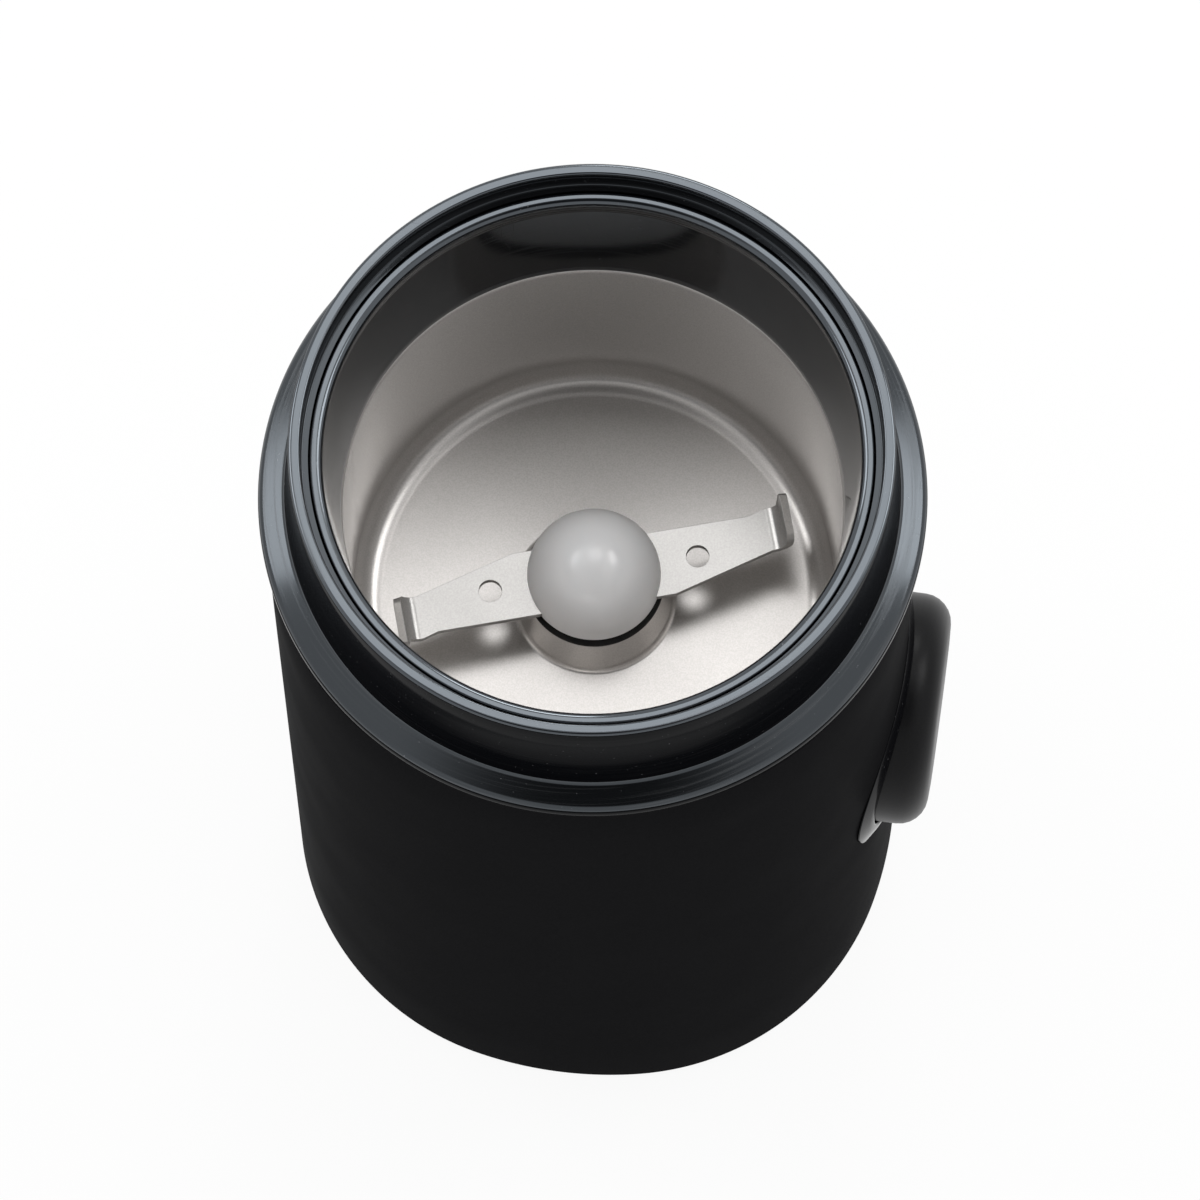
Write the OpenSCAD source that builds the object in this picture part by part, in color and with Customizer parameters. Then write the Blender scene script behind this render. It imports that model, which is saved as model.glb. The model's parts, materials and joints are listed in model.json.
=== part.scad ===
// Electric spice grinder: base unit with its bowl, blade, motor and push button.
// Millimetres. +Z is up, Z = 0 is the counter, the drive axis is X = Y = 0 and the button faces +X.

/* [Overall] */
// Counter to the top of the rim
height = 156; // [154:0.5:175]

/* [Housing] */
// Distance from the axis to each of the four flattened sides
body_flat = 45.3; // [44.8:0.1:46]
// How much farther from the axis the four soft corners are than the sides
corner_bulge = 1.2; // [0.9:0.1:1.9]
// Radius of curvature of the flattened sides
body_face_r = 60; // [56:1:80]
// Wall of the housing at the flattened sides
body_wall = 2.4; // [2:0.1:2.6]
// Height of the housing's lower edge above the counter
ground_gap = 1.6; // [1:0.1:2.2]
// Width of the ledge that carries the motor deck
deck_ledge = 3; // [2:0.1:4]

/* [Collar] */
// How far the neck stands in from the housing's sides
shoulder_w = 3.6; // [3.1:0.1:4]
// Straight height of the neck that a lid slides over
neck_straight = 8; // [4:0.5:12]
// How much wider the neck is at its foot
neck_flare = 1; // [0:0.1:1.4]
// Rim to the foot of the neck
neck_h = 17.5; // [15:0.5:18.5]
// Width of the outer rim land
land_w = 1.3; // [1:0.1:1.7]
// Rounding of the rim's edges
rim_round = 0.5; // [0.2:0.1:0.6]
// How far the shoulder's edge stands out past the housing's sides
flange_over = 1.2; // [1:0.1:3.5]
// Fall of the shoulder from the neck to its edge
flange_drop = 1.3; // [0.4:0.1:1.8]
// Rounding of the shoulder's edge
flange_round = 0.9; // [0.4:0.1:1]
// Thickness of the shoulder at its edge
flange_t = 2.3; // [2:0.1:3]
// Depth of the skirt that plugs into the housing
skirt_h = 7.5; // [6:0.5:9]
// Width of the step between the outer rim land and the sleeve's bore
bore_step = 1.4; // [1:0.1:1.6]
// Depth of the groove between the two rim lands
groove_h = 3.7; // [2:0.1:5]

/* [Sleeve] */
// Width of the bead at the sleeve's top
bead_w = 1; // [0.6:0.1:1.4]
// Rim to the sleeve's lower edge
sleeve_depth = 24.2; // [22:0.2:25]
// Width of the sleeve at its lower edge
sleeve_foot_w = 3.7; // [3:0.1:4]

/* [Bowl] */
// How far the bowl's wall stands in from the sleeve's lower edge
bowl_step = 0.2; // [0.1:0.1:0.8]
// How much narrower the bowl's wall is just above the corner than at its rim
bowl_draft = 0.6; // [0.2:0.1:1.6]
// Depth from the bowl's rim to its floor
bowl_depth = 38; // [36:0.5:40]
// Radius of the corner between wall and floor
bowl_corner_r = 4; // [2.5:0.5:7]
// Sheet thickness of the bowl
sheet_t = 0.8; // [0.5:0.1:1]
// Radius of the raised centre
boss_r = 11.1; // [10.9:0.1:13]
// Height of the raised centre
boss_h = 7.3; // [6:0.1:8]
// Edge rounding of the raised centre
boss_round = 2; // [1:0.1:2.4]
// Thickness of the gasket under the bowl's rim
gasket_t = 0.6; // [0.4:0.1:1]

/* [Blade] */
// Thickness of the blade
blade_t = 1.1; // [0.8:0.1:1.6]
// Bowl floor to the middle of the blade
blade_lift = 9.2; // [9:0.1:11]
// Bowl wall to the bend at each tip
tip_room = 8.5; // [8:0.1:12]
// Axis to the blade's straight back edge
blade_back = 4.7; // [4:0.1:5.5]
// Axis to the cutting edge at its root
blade_front = 5; // [4:0.1:6]
// Axis to the hole in each arm
blade_hole_at = 15; // [13:0.1:18]
// Diameter of the hole in each arm
blade_hole_d = 3.3; // [2:0.1:4]
// Length of the bent tips
tip_len = 2; // [1:0.1:3]
// Angle of the bent tips
tip_angle = 74; // [60:1:80]
// How far each bent tip stands out past the blade's back edge
horn_w = 1.2; // [0.6:0.1:1.6]
// Angle of the blade about the axis as it stands
blade_turn = 18; // [0:1:359]
// Radius of the domed hub
hub_r = 9.6; // [8:0.1:10]
// Gap between the raised centre and the hub
hub_gap = 0.5; // [0.4:0.1:1]

/* [Button] */
// Underside of the motor deck to the centre of the button
button_drop = 28.2; // [26.2:0.5:32.2]
// Radius of the button's cap
button_r = 17; // [14:0.1:17.5]
// How far the cap stands out past the housing's sides
button_proud = 5.7; // [4.7:0.1:8.7]
// Edge rounding of the cap
button_round = 3.5; // [1:0.1:4]
// Travel of the button
button_travel = 3; // [2:0.1:3]
// Gap round the cap
button_gap = 0.35; // [0.3:0.05:0.6]
// Wall of the cap
button_wall = 2; // [1.5:0.1:2.5]
// Radius of the button's stem
stem_r = 3.5; // [3:0.1:4]
// Outer radius of the bezel
bezel_r = 20.5; // [20:0.1:22]
// How far the bezel stands proud of the housing
bezel_proud = 1; // [0.5:0.1:1.6]
// Wall of the bezel's tube through the housing
bezel_wall = 1.8; // [1.4:0.1:2]

/* [Motor] */
// Radius of the shaft
shaft_r = 4; // [3.5:0.1:4.2]
// Running clearance of the shaft in its bushes
shaft_clear = 0.03; // [0.02:0.01:0.06]
// Space under the lamination stack for the commutator and its brushes
comm_room = 22; // [21:0.5:24]
// Stator size along X
stator_x = 46; // [45:0.5:47]
// Stator size along Y
stator_y = 54; // [53:0.5:57]
// Radius of the rotor
rotor_r = 13.9; // [13:0.1:14.1]
// Air gap between rotor and stator
air_gap = 0.6; // [0.4:0.1:0.8]
// Number of rotor slots
rotor_slots = 12; // [8:1:16]
// Radius of the commutator
comm_r = 8; // [7:0.1:8.2]
// Gap between the fan's rim and the switch
fan_gap = 2; // [1.6:0.1:6]
// Number of fan blades
fan_blades = 12; // [8:1:18]
// Deck to the top of the lamination stack
stack_drop = 24.2; // [23.5:0.1:26]
// Thickness of the motor deck
deck_t = 3; // [2.5:0.1:4]
// Radius of the motor screws
motor_screw_r = 1.5; // [1.2:0.1:1.7]

/* [Base] */
// Thickness of the base plate
base_t = 2.8; // [2:0.1:3.4]
// Radius of each foot
foot_r = 6; // [4:0.1:6.5]
// Inner wall of the housing to the centre of each foot
foot_in = 9.9; // [8.9:0.1:12.9]
// Base plate to the cradle that carries the motor
cradle_lift = 10.1; // [9.6:0.1:12]
// Radius of the hole in the cord inlet
inlet_r = 3.6; // [2.5:0.1:4.2]
// Counter to the centre of the cord inlet
inlet_z = 18; // [16:0.5:24]

/* [Hidden] */
$fn = 96;

// Small clearances shared by several pieces, and the overlap that joins two shapes of one solid
fit_gap = 0.2;
run_gap = 0.3;
tiny = 0.01;

// Radii inwards from the housing's side
body_corner = body_flat + corner_bulge;
flange_r = body_flat + flange_over;
neck_r = body_flat - shoulder_w;
land_in_r = neck_r - land_w;
collar_bore_r = land_in_r - bore_step;
sleeve_r = collar_bore_r - fit_gap;
sleeve_foot_r = sleeve_r - sleeve_foot_w;
bowl_r = sleeve_foot_r - bowl_step;
bowl_base_r = bowl_r - bowl_draft;
blade_reach = bowl_base_r - tip_room;
button_face = body_flat + button_proud;

// Heights down from the rim
neck_foot_z = height - neck_h;
flange_bottom_z = neck_foot_z - flange_drop - flange_t;
body_top_z = flange_bottom_z - run_gap;
sleeve_foot_z = height - sleeve_depth;
bowl_rim_z = sleeve_foot_z - sheet_t;
floor_z = bowl_rim_z - bowl_depth;
ledge_top_z = bowl_rim_z - gasket_t;
skirt_z = flange_bottom_z - skirt_h;
boss_top_z = floor_z + boss_h;
blade_z = floor_z + blade_lift;
hub_bottom_z = boss_top_z + hub_gap;
deck_z = floor_z - sheet_t;
deck_under_z = deck_z - deck_t;

// The housing's outline: four side arcs, four corner arcs that run into them without an edge
face_shift = body_face_r - body_flat;
corner_gain = body_face_r - body_corner;
corner_at = (pow(face_shift, 2) - pow(corner_gain, 2)) / (2 * sqrt(2) * corner_gain - 2 * face_shift);
corner_r = body_corner - sqrt(2) * corner_at;
face_half_angle = atan2(corner_at, corner_at + face_shift);

// Radii inside the housing, and what plugs into it
inner_r = body_flat - body_wall;
body_h = body_top_z - ground_gap;
skirt_r = inner_r - fit_gap;
ledge_r = bowl_r + sheet_t + 1.2;
rim_flange_r = sleeve_r - fit_gap;

// Base plate, just inside the housing's lower edge
plate_z = ground_gap + 0.5;
plate_top_z = plate_z + base_t;
plate_r = inner_r - run_gap;

// Motor stack, between what hangs from the deck and what stands on the cradle
cradle_t = 4;
cradle_z = plate_top_z + cradle_lift;
cradle_top_z = cradle_z + cradle_t;
stack_top_z = deck_under_z - stack_drop;
stack_z = cradle_top_z + comm_room;
stack_h = stack_top_z - stack_z;
button_z = deck_under_z - button_drop;
washer_t = 1.5;
post_x = stator_x / 2 - 3.1;
post_y = stator_y / 2 - 3.6;
post_r = 3.2;
window_x = stator_x / 2 - 4.5;
window_y = stator_y / 2 - 5.5;
pole_half = 7;
bore_r = rotor_r + air_gap;
shoe_r = bore_r + 2.5;
coil_w = 5;
coil_rise = 5;
coil_in_y = shoe_r - 1.1;
screw_head_h = 3;
screw_head_r = 2.8;
screw_hole_r = motor_screw_r + 0.1;
screw_bite = 16;

// Bushes, washers and what turns between them
bush_r = 7;
upper_bush_z = deck_under_z - 6;
upper_bush_h = 12;
lower_bush_z = cradle_z - 1;
lower_bush_h = 7.5;
end_turn_h = 6.5;
comm_z = lower_bush_z + lower_bush_h + 1.6;
comm_h = 10;
fan_z = stack_top_z + end_turn_h + 2;
fan_t = 1.5;
fan_h = upper_bush_z - 1.8 - fan_z;
brush_z = comm_z + 5.5;
brush_x = 5;
brush_h = 6;
brush_len = 9;
holder_out_y = comm_r + 17;
wire_t = 0.6;
thread_r = 3;
insert_r = 4.8;
seal_r = 6.1;

// Button, its guide and the switch behind it
bezel_tube_r = button_r + button_gap + bezel_wall;
hole_gap = 0.2;
button_hole_r = bezel_tube_r + hole_gap;
bezel_in = inner_r - 0.5;
clip_x = bezel_in - 0.6;
clip_t = 1.6;
guide_face = clip_x - clip_t - button_travel - run_gap;
guide_t = 1.7;
guide_r = 22;
lever_t = 0.8;
lever_gap = 1;
lever_x = guide_face - guide_t - lever_gap - lever_t;
stem_tip = lever_x + lever_t + run_gap;
nose_r = 1.5;
nose_l = 0.8;
lever_w = 6.8;
pivot_z = deck_under_z - 4.2;
pivot_x = lever_x - 0.4;
pin_r = 0.8;
plunger_out = 2.2;
switch_l = 8.7;
switch_w = 10;
switch_h = 18;
switch_out = lever_x - plunger_out;
switch_in = switch_out - switch_l;
switch_screw_r = 1;
switch_mid = (switch_in + switch_out - 1) / 2;
switch_screw_z = [deck_under_z - 4.5, deck_under_z - 13];
fan_r = switch_in - fan_gap;
plunger_r = 1.4;
plunger_z = pivot_z - (pivot_z - button_z) / 3;
spring_r = 6;

// Bend radius of the blade's tips
bend_r = 1;

// What the base plate carries
foot_at = inner_r - foot_in;
foot_stem_r = 2.5;
vent_in = 12;
vent_out = foot_at - foot_r - 2;
cap_x_out = inner_r - 3.9;
cap_t = 10;
cap_w = 15;
cap_h = 16;
cutout_r = 2.5;
cutout_l = 14;
boss_at = inner_r - 4.9;
screw_boss_r = 3.8;
base_screw_r = 1.4;
base_boss_h = 14;
foot_turn = 45;
boss_turns = [30, 150, 270];
inlet_boss_r = inlet_r + 1.7;

// A rectangle with round corners, centred
module rounded_rect(w, h, r) {
    square([w - 2 * r, h], center = true);
    square([w, h - 2 * r], center = true);
    for (x = [-1, 1], y = [-1, 1])
        translate([x * (w / 2 - r), y * (h / 2 - r)]) circle(r);
}

// A ring, drawn as a tube
module tube(h, r_out, r_in) {
    difference() {
        cylinder(h = h, r = r_out);
        translate([0, 0, -1]) cylinder(h = h + 2, r = r_in);
    }
}

// The same thing at each of the four stator corners
module at_posts() {
    for (x = [-1, 1], y = [-1, 1])
        translate([x * post_x, y * post_y, 0]) children();
}

// A closed wire coil along Z as a swept tube
function coil_point(r, pitch, a) = [r * cos(a), r * sin(a), pitch * a / 360];
module wire_coil(r, pitch, turns, wire, sides = 6, steps = 14) {
    count = turns * steps;
    points = [for (i = [0:count], s = [0:sides - 1])
        let (a = 360 * i / steps, b = 360 * s / sides)
        coil_point(r, pitch, a) + wire * [cos(b) * cos(a), cos(b) * sin(a), sin(b)]];
    sides_faces = [for (i = [0:count - 1], s = [0:sides - 1])
        [i * sides + s, (i + 1) * sides + s, (i + 1) * sides + (s + 1) % sides, i * sides + (s + 1) % sides]];
    first = [for (s = [0:sides - 1]) s];
    last = [for (s = [sides - 1:-1:0]) count * sides + s];
    polyhedron(points, concat(sides_faces, [first], [last]), convexity = 10);
}

// The housing's softly squared outline, grown by g
module body_outline(g = 0) {
    for (a = [0:90:270]) rotate(a) {
        translate([corner_at, corner_at]) circle(corner_r + g);
        intersection() {
            translate([-face_shift, 0]) circle(body_face_r + g);
            polygon([[-face_shift, 0], face_ray(-1), face_ray(1)]);
        }
    }
}
function face_ray(side) =
    [-face_shift, 0] + 2 * body_face_r * [cos(face_half_angle), side * sin(face_half_angle)];

// The housing's outer form
module body_solid(g = 0) {
    translate([0, 0, ground_gap]) linear_extrude(body_h) body_outline(g);
}

// What is cut away to round a corner of a section: r is the radius, sx and sy point outwards
module corner_cut(x, y, r, sx, sy) {
    translate([x - sx * r, y - sy * r]) scale([sx, sy]) difference() {
        square(r + 1);
        circle(r);
    }
}

// Something that stands out along the button's axis
module on_button_axis(x) {
    translate([x, 0, button_z]) rotate([0, 90, 0]) children();
}

module housing() {
    color([0.11, 0.11, 0.115]) difference() {
        union() {
            difference() {
                body_solid();
                translate([0, 0, ground_gap - 1]) cylinder(h = body_h + 2, r = inner_r);
            }
            // ledge that carries the motor deck
            translate([0, 0, deck_under_z - 4]) tube(4, inner_r + 0.5, inner_r - deck_ledge);
            // bosses for the base screws
            for (a = boss_turns) rotate([0, 0, a])
                translate([0, 0, plate_top_z]) difference() {
                    union() {
                        translate([boss_at, 0, 0]) cylinder(h = base_boss_h, r = screw_boss_r);
                        translate([boss_at, -1.2, 0]) cube([inner_r - boss_at + 0.6, 2.4, base_boss_h]);
                    }
                    translate([boss_at, 0, -1]) cylinder(h = base_boss_h - 1, r = base_screw_r);
                }
        }
        button_bar(button_hole_r);
        translate([0, inner_r - 4, inlet_z]) rotate([-90, 0, 0])
            cylinder(h = 12, r = inlet_boss_r + hole_gap / 2);
    }
}

module collar() {
    flange_top_z = neck_foot_z - flange_drop;
    color([0.05, 0.05, 0.058]) rotate_extrude() difference() {
        // upright neck with the flare at its foot, shoulder, skirt and inner ledge
        polygon([
            [land_in_r, height], [neck_r, height], [neck_r, height - neck_straight],
            [neck_r + neck_flare, neck_foot_z], [flange_r, flange_top_z],
            [flange_r, flange_bottom_z + 0.6], [flange_r - 0.6, flange_bottom_z],
            [skirt_r, flange_bottom_z], [skirt_r, skirt_z], [ledge_r, skirt_z],
            [ledge_r, ledge_top_z], [collar_bore_r, ledge_top_z],
            [collar_bore_r, height - groove_h], [land_in_r, height - groove_h]]);
        corner_cut(neck_r, height, rim_round, 1, 1);
        corner_cut(land_in_r, height, rim_round, -1, 1);
        corner_cut(flange_r, flange_top_z, flange_round, 1, 1);
    }
}

module inner_sleeve() {
    top_z = height - groove_h;
    bead_in = sleeve_r - bead_w;
    bead_round = bead_w * 0.45;
    color([0.07, 0.07, 0.08]) rotate_extrude() difference() {
        polygon([
            [sleeve_r, top_z], [sleeve_r, sleeve_foot_z], [sleeve_foot_r, sleeve_foot_z],
            [sleeve_foot_r, sleeve_foot_z + 1], [bead_in - 0.3, top_z - 2],
            [bead_in, top_z - 0.6], [bead_in, top_z]]);
        corner_cut(sleeve_r, top_z, bead_round, 1, 1);
        corner_cut(bead_in, top_z, bead_round, -1, 1);
    }
}

// Section of the bowl's hollow, grown by g
module bowl_section(g) {
    r = bowl_corner_r + g;
    translate([0, floor_z - g]) polygon([
        [0, 0], [bowl_base_r + g - r, 0], [bowl_base_r + g, r],
        [bowl_r + g, bowl_depth + g + sheet_t + tiny], [0, bowl_depth + g + sheet_t + tiny]]);
    translate([bowl_base_r + g - r, floor_z - g + r]) circle(r);
}

// Section of the raised centre, shrunk by g
module boss_section(g) {
    r = boss_round - g / 2;
    top = boss_top_z - g;
    draft = 0.6;
    polygon([
        [0, floor_z - 2], [boss_r - g, floor_z - 2], [boss_r - g, floor_z], [boss_r - draft - g, top - r],
        [boss_r - draft - g - r, top], [0, top]]);
    translate([boss_r - draft - g - r, top - r]) circle(r);
}

module bowl() {
    color([0.78, 0.77, 0.75]) rotate_extrude() difference() {
        union() {
            difference() {
                union() {
                    bowl_section(sheet_t);
                    translate([bowl_r, bowl_rim_z]) square([rim_flange_r - bowl_r, sheet_t]);
                }
                bowl_section(0);
            }
            intersection() {
                boss_section(0);
                translate([0, floor_z - sheet_t]) square([boss_r + 1, boss_h + 2]);
            }
        }
        boss_section(sheet_t);
        translate([-1, floor_z - 5]) square([seal_r + 1.1, boss_h + 10]);
        translate([0, sleeve_foot_z]) square([rim_flange_r + 1, 20]);
        translate([-20, floor_z - 10]) square([20, 80]);
    }
}

module bowl_gasket() {
    color([0.15, 0.15, 0.15]) translate([0, 0, ledge_top_z])
        tube(gasket_t, rim_flange_r, ledge_r);
}

module shaft_seal() {
    color([0.1, 0.1, 0.1]) translate([0, 0, boss_top_z - 2.6])
        tube(2.6, seal_r, shaft_r + 0.05);
}

// A round bar along the button's axis, from well inside the housing to well outside it
module button_bar(r) {
    on_button_axis(bezel_in - 12) cylinder(h = 30, r = r);
}

module button_bezel() {
    color([0.05, 0.05, 0.055]) difference() {
        union() {
            // flange that hugs the housing
            difference() {
                intersection() {
                    button_bar(bezel_r);
                    body_solid(bezel_proud);
                }
                body_solid();
            }
            // tube through the wall
            difference() {
                intersection() {
                    button_bar(bezel_tube_r);
                    body_solid(bezel_proud);
                }
                translate([0, 0, ground_gap]) cylinder(h = body_h, r = bezel_in);
            }
        }
        button_bar(button_r + button_gap);
    }
}

module push_button() {
    back = clip_x - clip_t;
    depth = button_face - back;
    color([0.12, 0.12, 0.125]) {
        on_button_axis(back) rotate_extrude() difference() {
            square([button_r, depth]);
            corner_cut(button_r, depth, button_round, 1, 1);
            translate([stem_r, -1]) square([button_r - button_wall - stem_r, depth - button_wall + 1]);
        }
        // stem through the guide, with the slim nose that meets the lever
        on_button_axis(stem_tip + nose_l) cylinder(h = back - stem_tip - nose_l + 2, r = stem_r);
        on_button_axis(stem_tip) cylinder(h = nose_l + 1, r = nose_r);
        // two retaining clips, above and below
        for (s = [-1, 1]) translate([back, -4, button_z + (s > 0 ? button_r - 1.2 : -button_r - 1.2)])
            cube([clip_t, 8, 2.4]);
    }
}

module button_guide() {
    rim = guide_face + 3;
    color([0.2, 0.2, 0.2]) intersection() {
        difference() {
            on_button_axis(guide_face - guide_t) cylinder(h = rim - guide_face + guide_t, r = guide_r);
            on_button_axis(guide_face) cylinder(h = 20, r = button_hole_r);
            on_button_axis(guide_face - 5) cylinder(h = 10, r = stem_r + run_gap);
            // two windows save material beside the stem
            for (y = [-12, 12]) translate([guide_face - 5, y - 3, button_z - 6]) cube([10, 6, 12]);
        }
        translate([0, 0, ground_gap]) cylinder(h = body_h, r = inner_r - 0.1);
    }
}

module button_spring() {
    length = button_face - button_wall - guide_face - 2 * wire_t - 0.4;
    turns = 5;
    color([0.6, 0.6, 0.62]) on_button_axis(guide_face + wire_t + 0.2)
        wire_coil(spring_r, length / turns, turns, wire_t);
}

module base_plate() {
    cap_wall_h = 8;
    color([0.1, 0.1, 0.1]) translate([0, 0, plate_z]) difference() {
        union() {
            cylinder(h = base_t, r = plate_r);
            // cradle walls for the capacitor
            for (y = [-1, 1]) translate([-cap_x_out, y * (cap_w / 2 + 1.05) - 0.8, 0])
                cube([cap_t, 1.6, base_t + cap_wall_h]);
        }
        for (a = boss_turns) rotate([0, 0, a]) translate([boss_at, 0, -1]) {
            cylinder(h = base_t + 2, r = base_screw_r + 0.2);
            cylinder(h = 1 + 1.2, r = 3.1);
        }
        // vent slots
        for (a = [0:30:330]) rotate([0, 0, a + 15]) translate([vent_in, -1.2, -1])
            cube([vent_out - vent_in, 2.4, base_t + 2]);
        // sockets of the feet
        for (a = [0:90:270]) rotate([0, 0, a + foot_turn]) translate([foot_at, 0, -1]) {
            cylinder(h = 2, r = foot_r + 0.1);
            cylinder(h = base_t + 2, r = foot_stem_r + 0.1);
        }
    }
}

module rubber_feet() {
    color([0.13, 0.13, 0.13]) for (a = [0:90:270]) rotate([0, 0, a + foot_turn])
        translate([foot_at, 0, 0]) {
            cylinder(h = plate_z + 1, r = foot_r);
            cylinder(h = plate_top_z, r = foot_stem_r);
            translate([0, 0, plate_top_z]) cylinder(h = 1.2, r = foot_stem_r + 0.7);
        }
}

module base_screws() {
    color([0.7, 0.7, 0.72]) for (a = boss_turns) rotate([0, 0, a])
        translate([boss_at, 0, plate_z]) difference() {
            union() {
                translate([0, 0, 0.1]) cylinder(h = 1.1, r = 2.8);
                cylinder(h = base_t + base_boss_h - 5, r = base_screw_r - 0.05);
            }
            translate([-2, -0.4, -1]) cube([4, 0.8, 1.6]);
            translate([-0.4, -2, -1]) cube([0.8, 4, 1.6]);
        }
}

module cord_inlet() {
    wall_out = body_flat;
    color([0.08, 0.08, 0.08]) translate([0, 0, inlet_z]) rotate([-90, 0, 0]) difference() {
        union() {
            translate([0, 0, wall_out]) cylinder(h = 1.8, r = inlet_boss_r + 2);
            translate([0, 0, inner_r - 2.6]) cylinder(h = wall_out - inner_r + 3, r = inlet_boss_r);
            translate([0, 0, inner_r - 2.6]) cylinder(h = 1.8, r = inlet_boss_r + 1.5);
        }
        translate([0, 0, 30]) cylinder(h = 30, r = inlet_r);
    }
}

module motor_deck() {
    boss_out = bush_r + 1.8;
    color([0.85, 0.84, 0.8]) difference() {
        union() {
            translate([0, 0, deck_under_z]) cylinder(h = deck_t, r = inner_r - fit_gap);
            // bearing boss, up into the bowl's raised centre and down towards the fan
            translate([0, 0, deck_z]) cylinder(h = boss_h - run_gap, r = boss_out);
            translate([0, 0, upper_bush_z]) cylinder(h = deck_z - upper_bush_z, r = boss_out + 1);
            // posts that carry the motor
            at_posts() translate([0, 0, stack_top_z + washer_t])
                cylinder(h = deck_z - stack_top_z - washer_t, r = post_r);
            // lugs that hold the switch
            for (y = [-1, 1])
                translate([switch_in, y * (switch_w / 2 + 1.1) - 1, deck_under_z - switch_h + 3])
                    cube([switch_l - 1, 2, switch_h - 3 + tiny]);
            // ribs from the boss to the edge
            for (a = [45:90:315]) rotate([0, 0, a]) translate([boss_out, -0.9, deck_under_z - 4])
                cube([inner_r - deck_ledge - run_gap - boss_out, 1.8, 4 + tiny]);
        }
        translate([0, 0, upper_bush_z - 1]) cylinder(h = upper_bush_h + 1, r = bush_r);
        translate([0, 0, upper_bush_z]) cylinder(h = 40, r = shaft_r + 0.6);
        translate([0, 0, boss_top_z - 2.6]) cylinder(h = 10, r = seal_r);
        at_posts() translate([0, 0, stack_top_z]) cylinder(h = screw_bite + 2, r = motor_screw_r);
        for (z = switch_screw_z) translate([switch_mid, -20, z]) rotate([-90, 0, 0])
            cylinder(h = 40, r = switch_screw_r + 0.05);
    }
}

module motor_cradle() {
    color([0.2, 0.2, 0.21]) difference() {
        union() {
            translate([0, 0, cradle_z]) linear_extrude(cradle_t)
                rounded_rect(stator_x, stator_y, 4);
            at_posts() translate([0, 0, cradle_z]) cylinder(h = stack_z - cradle_z, r = post_r);
            translate([0, 0, lower_bush_z]) cylinder(h = lower_bush_h, r = bush_r + 2.4);
        }
        translate([0, 0, lower_bush_z - tiny]) cylinder(h = lower_bush_h + 1, r = bush_r);
        at_posts() translate([0, 0, cradle_z - 1])
            cylinder(h = stack_z - cradle_z + 2, r = screw_hole_r);
        // air ways
        for (s = [-1, 1]) translate([s * 16.5, 0, cradle_z - 1]) linear_extrude(cradle_t + 2)
            rounded_rect(5, 20, 2);
    }
}

module motor_screws() {
    color([0.72, 0.72, 0.74]) at_posts() difference() {
        union() {
            translate([0, 0, cradle_z - screw_head_h]) cylinder(h = screw_head_h, r = screw_head_r);
            translate([0, 0, cradle_z - tiny])
                cylinder(h = stack_top_z - cradle_z + screw_bite, r = motor_screw_r);
        }
        translate([-0.5, -3, cradle_z - screw_head_h - 1]) cube([1, 6, 2.2]);
    }
}

module deck_washers() {
    color([0.12, 0.12, 0.12]) at_posts() translate([0, 0, stack_top_z])
        tube(washer_t, post_r, screw_hole_r);
}

module stator_core() {
    color([0.55, 0.55, 0.57]) translate([0, 0, stack_z]) linear_extrude(stack_h) difference() {
        rounded_rect(stator_x, stator_y, 4);
        circle(bore_r);
        difference() {
            rounded_rect(2 * window_x, 2 * window_y, 2);
            circle(shoe_r);
            square([2 * pole_half, stator_y], center = true);
        }
        square([2 * window_x, 10], center = true);
        for (x = [-1, 1], y = [-1, 1]) translate([x * post_x, y * post_y]) circle(screw_hole_r);
    }
}

// One winding round a pole, seen along Y
module coil_ring() {
    in_w = 2 * pole_half + 0.6;
    in_h = stack_h + 0.6;
    difference() {
        rounded_rect(in_w + 2 * coil_w, in_h + 2 * coil_rise, 4.5);
        rounded_rect(in_w, in_h, 1);
    }
}

module field_coils() {
    color([0.72, 0.38, 0.18]) for (s = [0, 180]) rotate([0, 0, s])
        translate([0, window_y - 0.3, stack_z + stack_h / 2]) rotate([90, 0, 0])
            linear_extrude(window_y - 0.3 - coil_in_y) coil_ring();
}

module upper_bush() {
    color([0.72, 0.55, 0.3]) translate([0, 0, upper_bush_z])
        tube(upper_bush_h, bush_r, shaft_r + shaft_clear);
}

module lower_bush() {
    color([0.72, 0.55, 0.3]) translate([0, 0, lower_bush_z])
        tube(lower_bush_h, bush_r, shaft_r + shaft_clear);
}

module brush_holders() {
    wall = 1.8;
    foot_l = 9;
    color([0.75, 0.62, 0.3]) for (s = [0, 180]) rotate([0, 0, s]) difference() {
        union() {
            translate([-brush_x / 2 - wall, comm_r + 1.6, brush_z - brush_h / 2 - wall])
                cube([brush_x + 2 * wall, holder_out_y - comm_r - 1.6, brush_h + 2 * wall]);
            translate([-brush_x / 2 - wall, comm_r + 5, cradle_top_z])
                cube([brush_x + 2 * wall, foot_l, brush_z - cradle_top_z]);
        }
        translate([-brush_x / 2 - 0.1, 0, brush_z - brush_h / 2 - 0.1])
            cube([brush_x + 0.2, holder_out_y - 0.8, brush_h + 0.2]);
    }
}

module carbon_brushes() {
    color([0.18, 0.18, 0.19]) for (s = [0, 180]) rotate([0, 0, s]) difference() {
        translate([-brush_x / 2, comm_r - 1, brush_z - brush_h / 2]) cube([brush_x, brush_len + 1, brush_h]);
        translate([0, 0, brush_z - brush_h]) cylinder(h = 2 * brush_h, r = comm_r + run_gap);
    }
}

module brush_springs() {
    space = holder_out_y - 0.8 - comm_r - brush_len - 0.8;
    turns = 5;
    color([0.65, 0.65, 0.67]) for (s = [0, 180]) rotate([0, 0, s])
        translate([0, comm_r + brush_len + 0.4, brush_z]) rotate([-90, 0, 0])
            wire_coil(1.8, space / turns, turns, 0.3, 5, 12);
}

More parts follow.
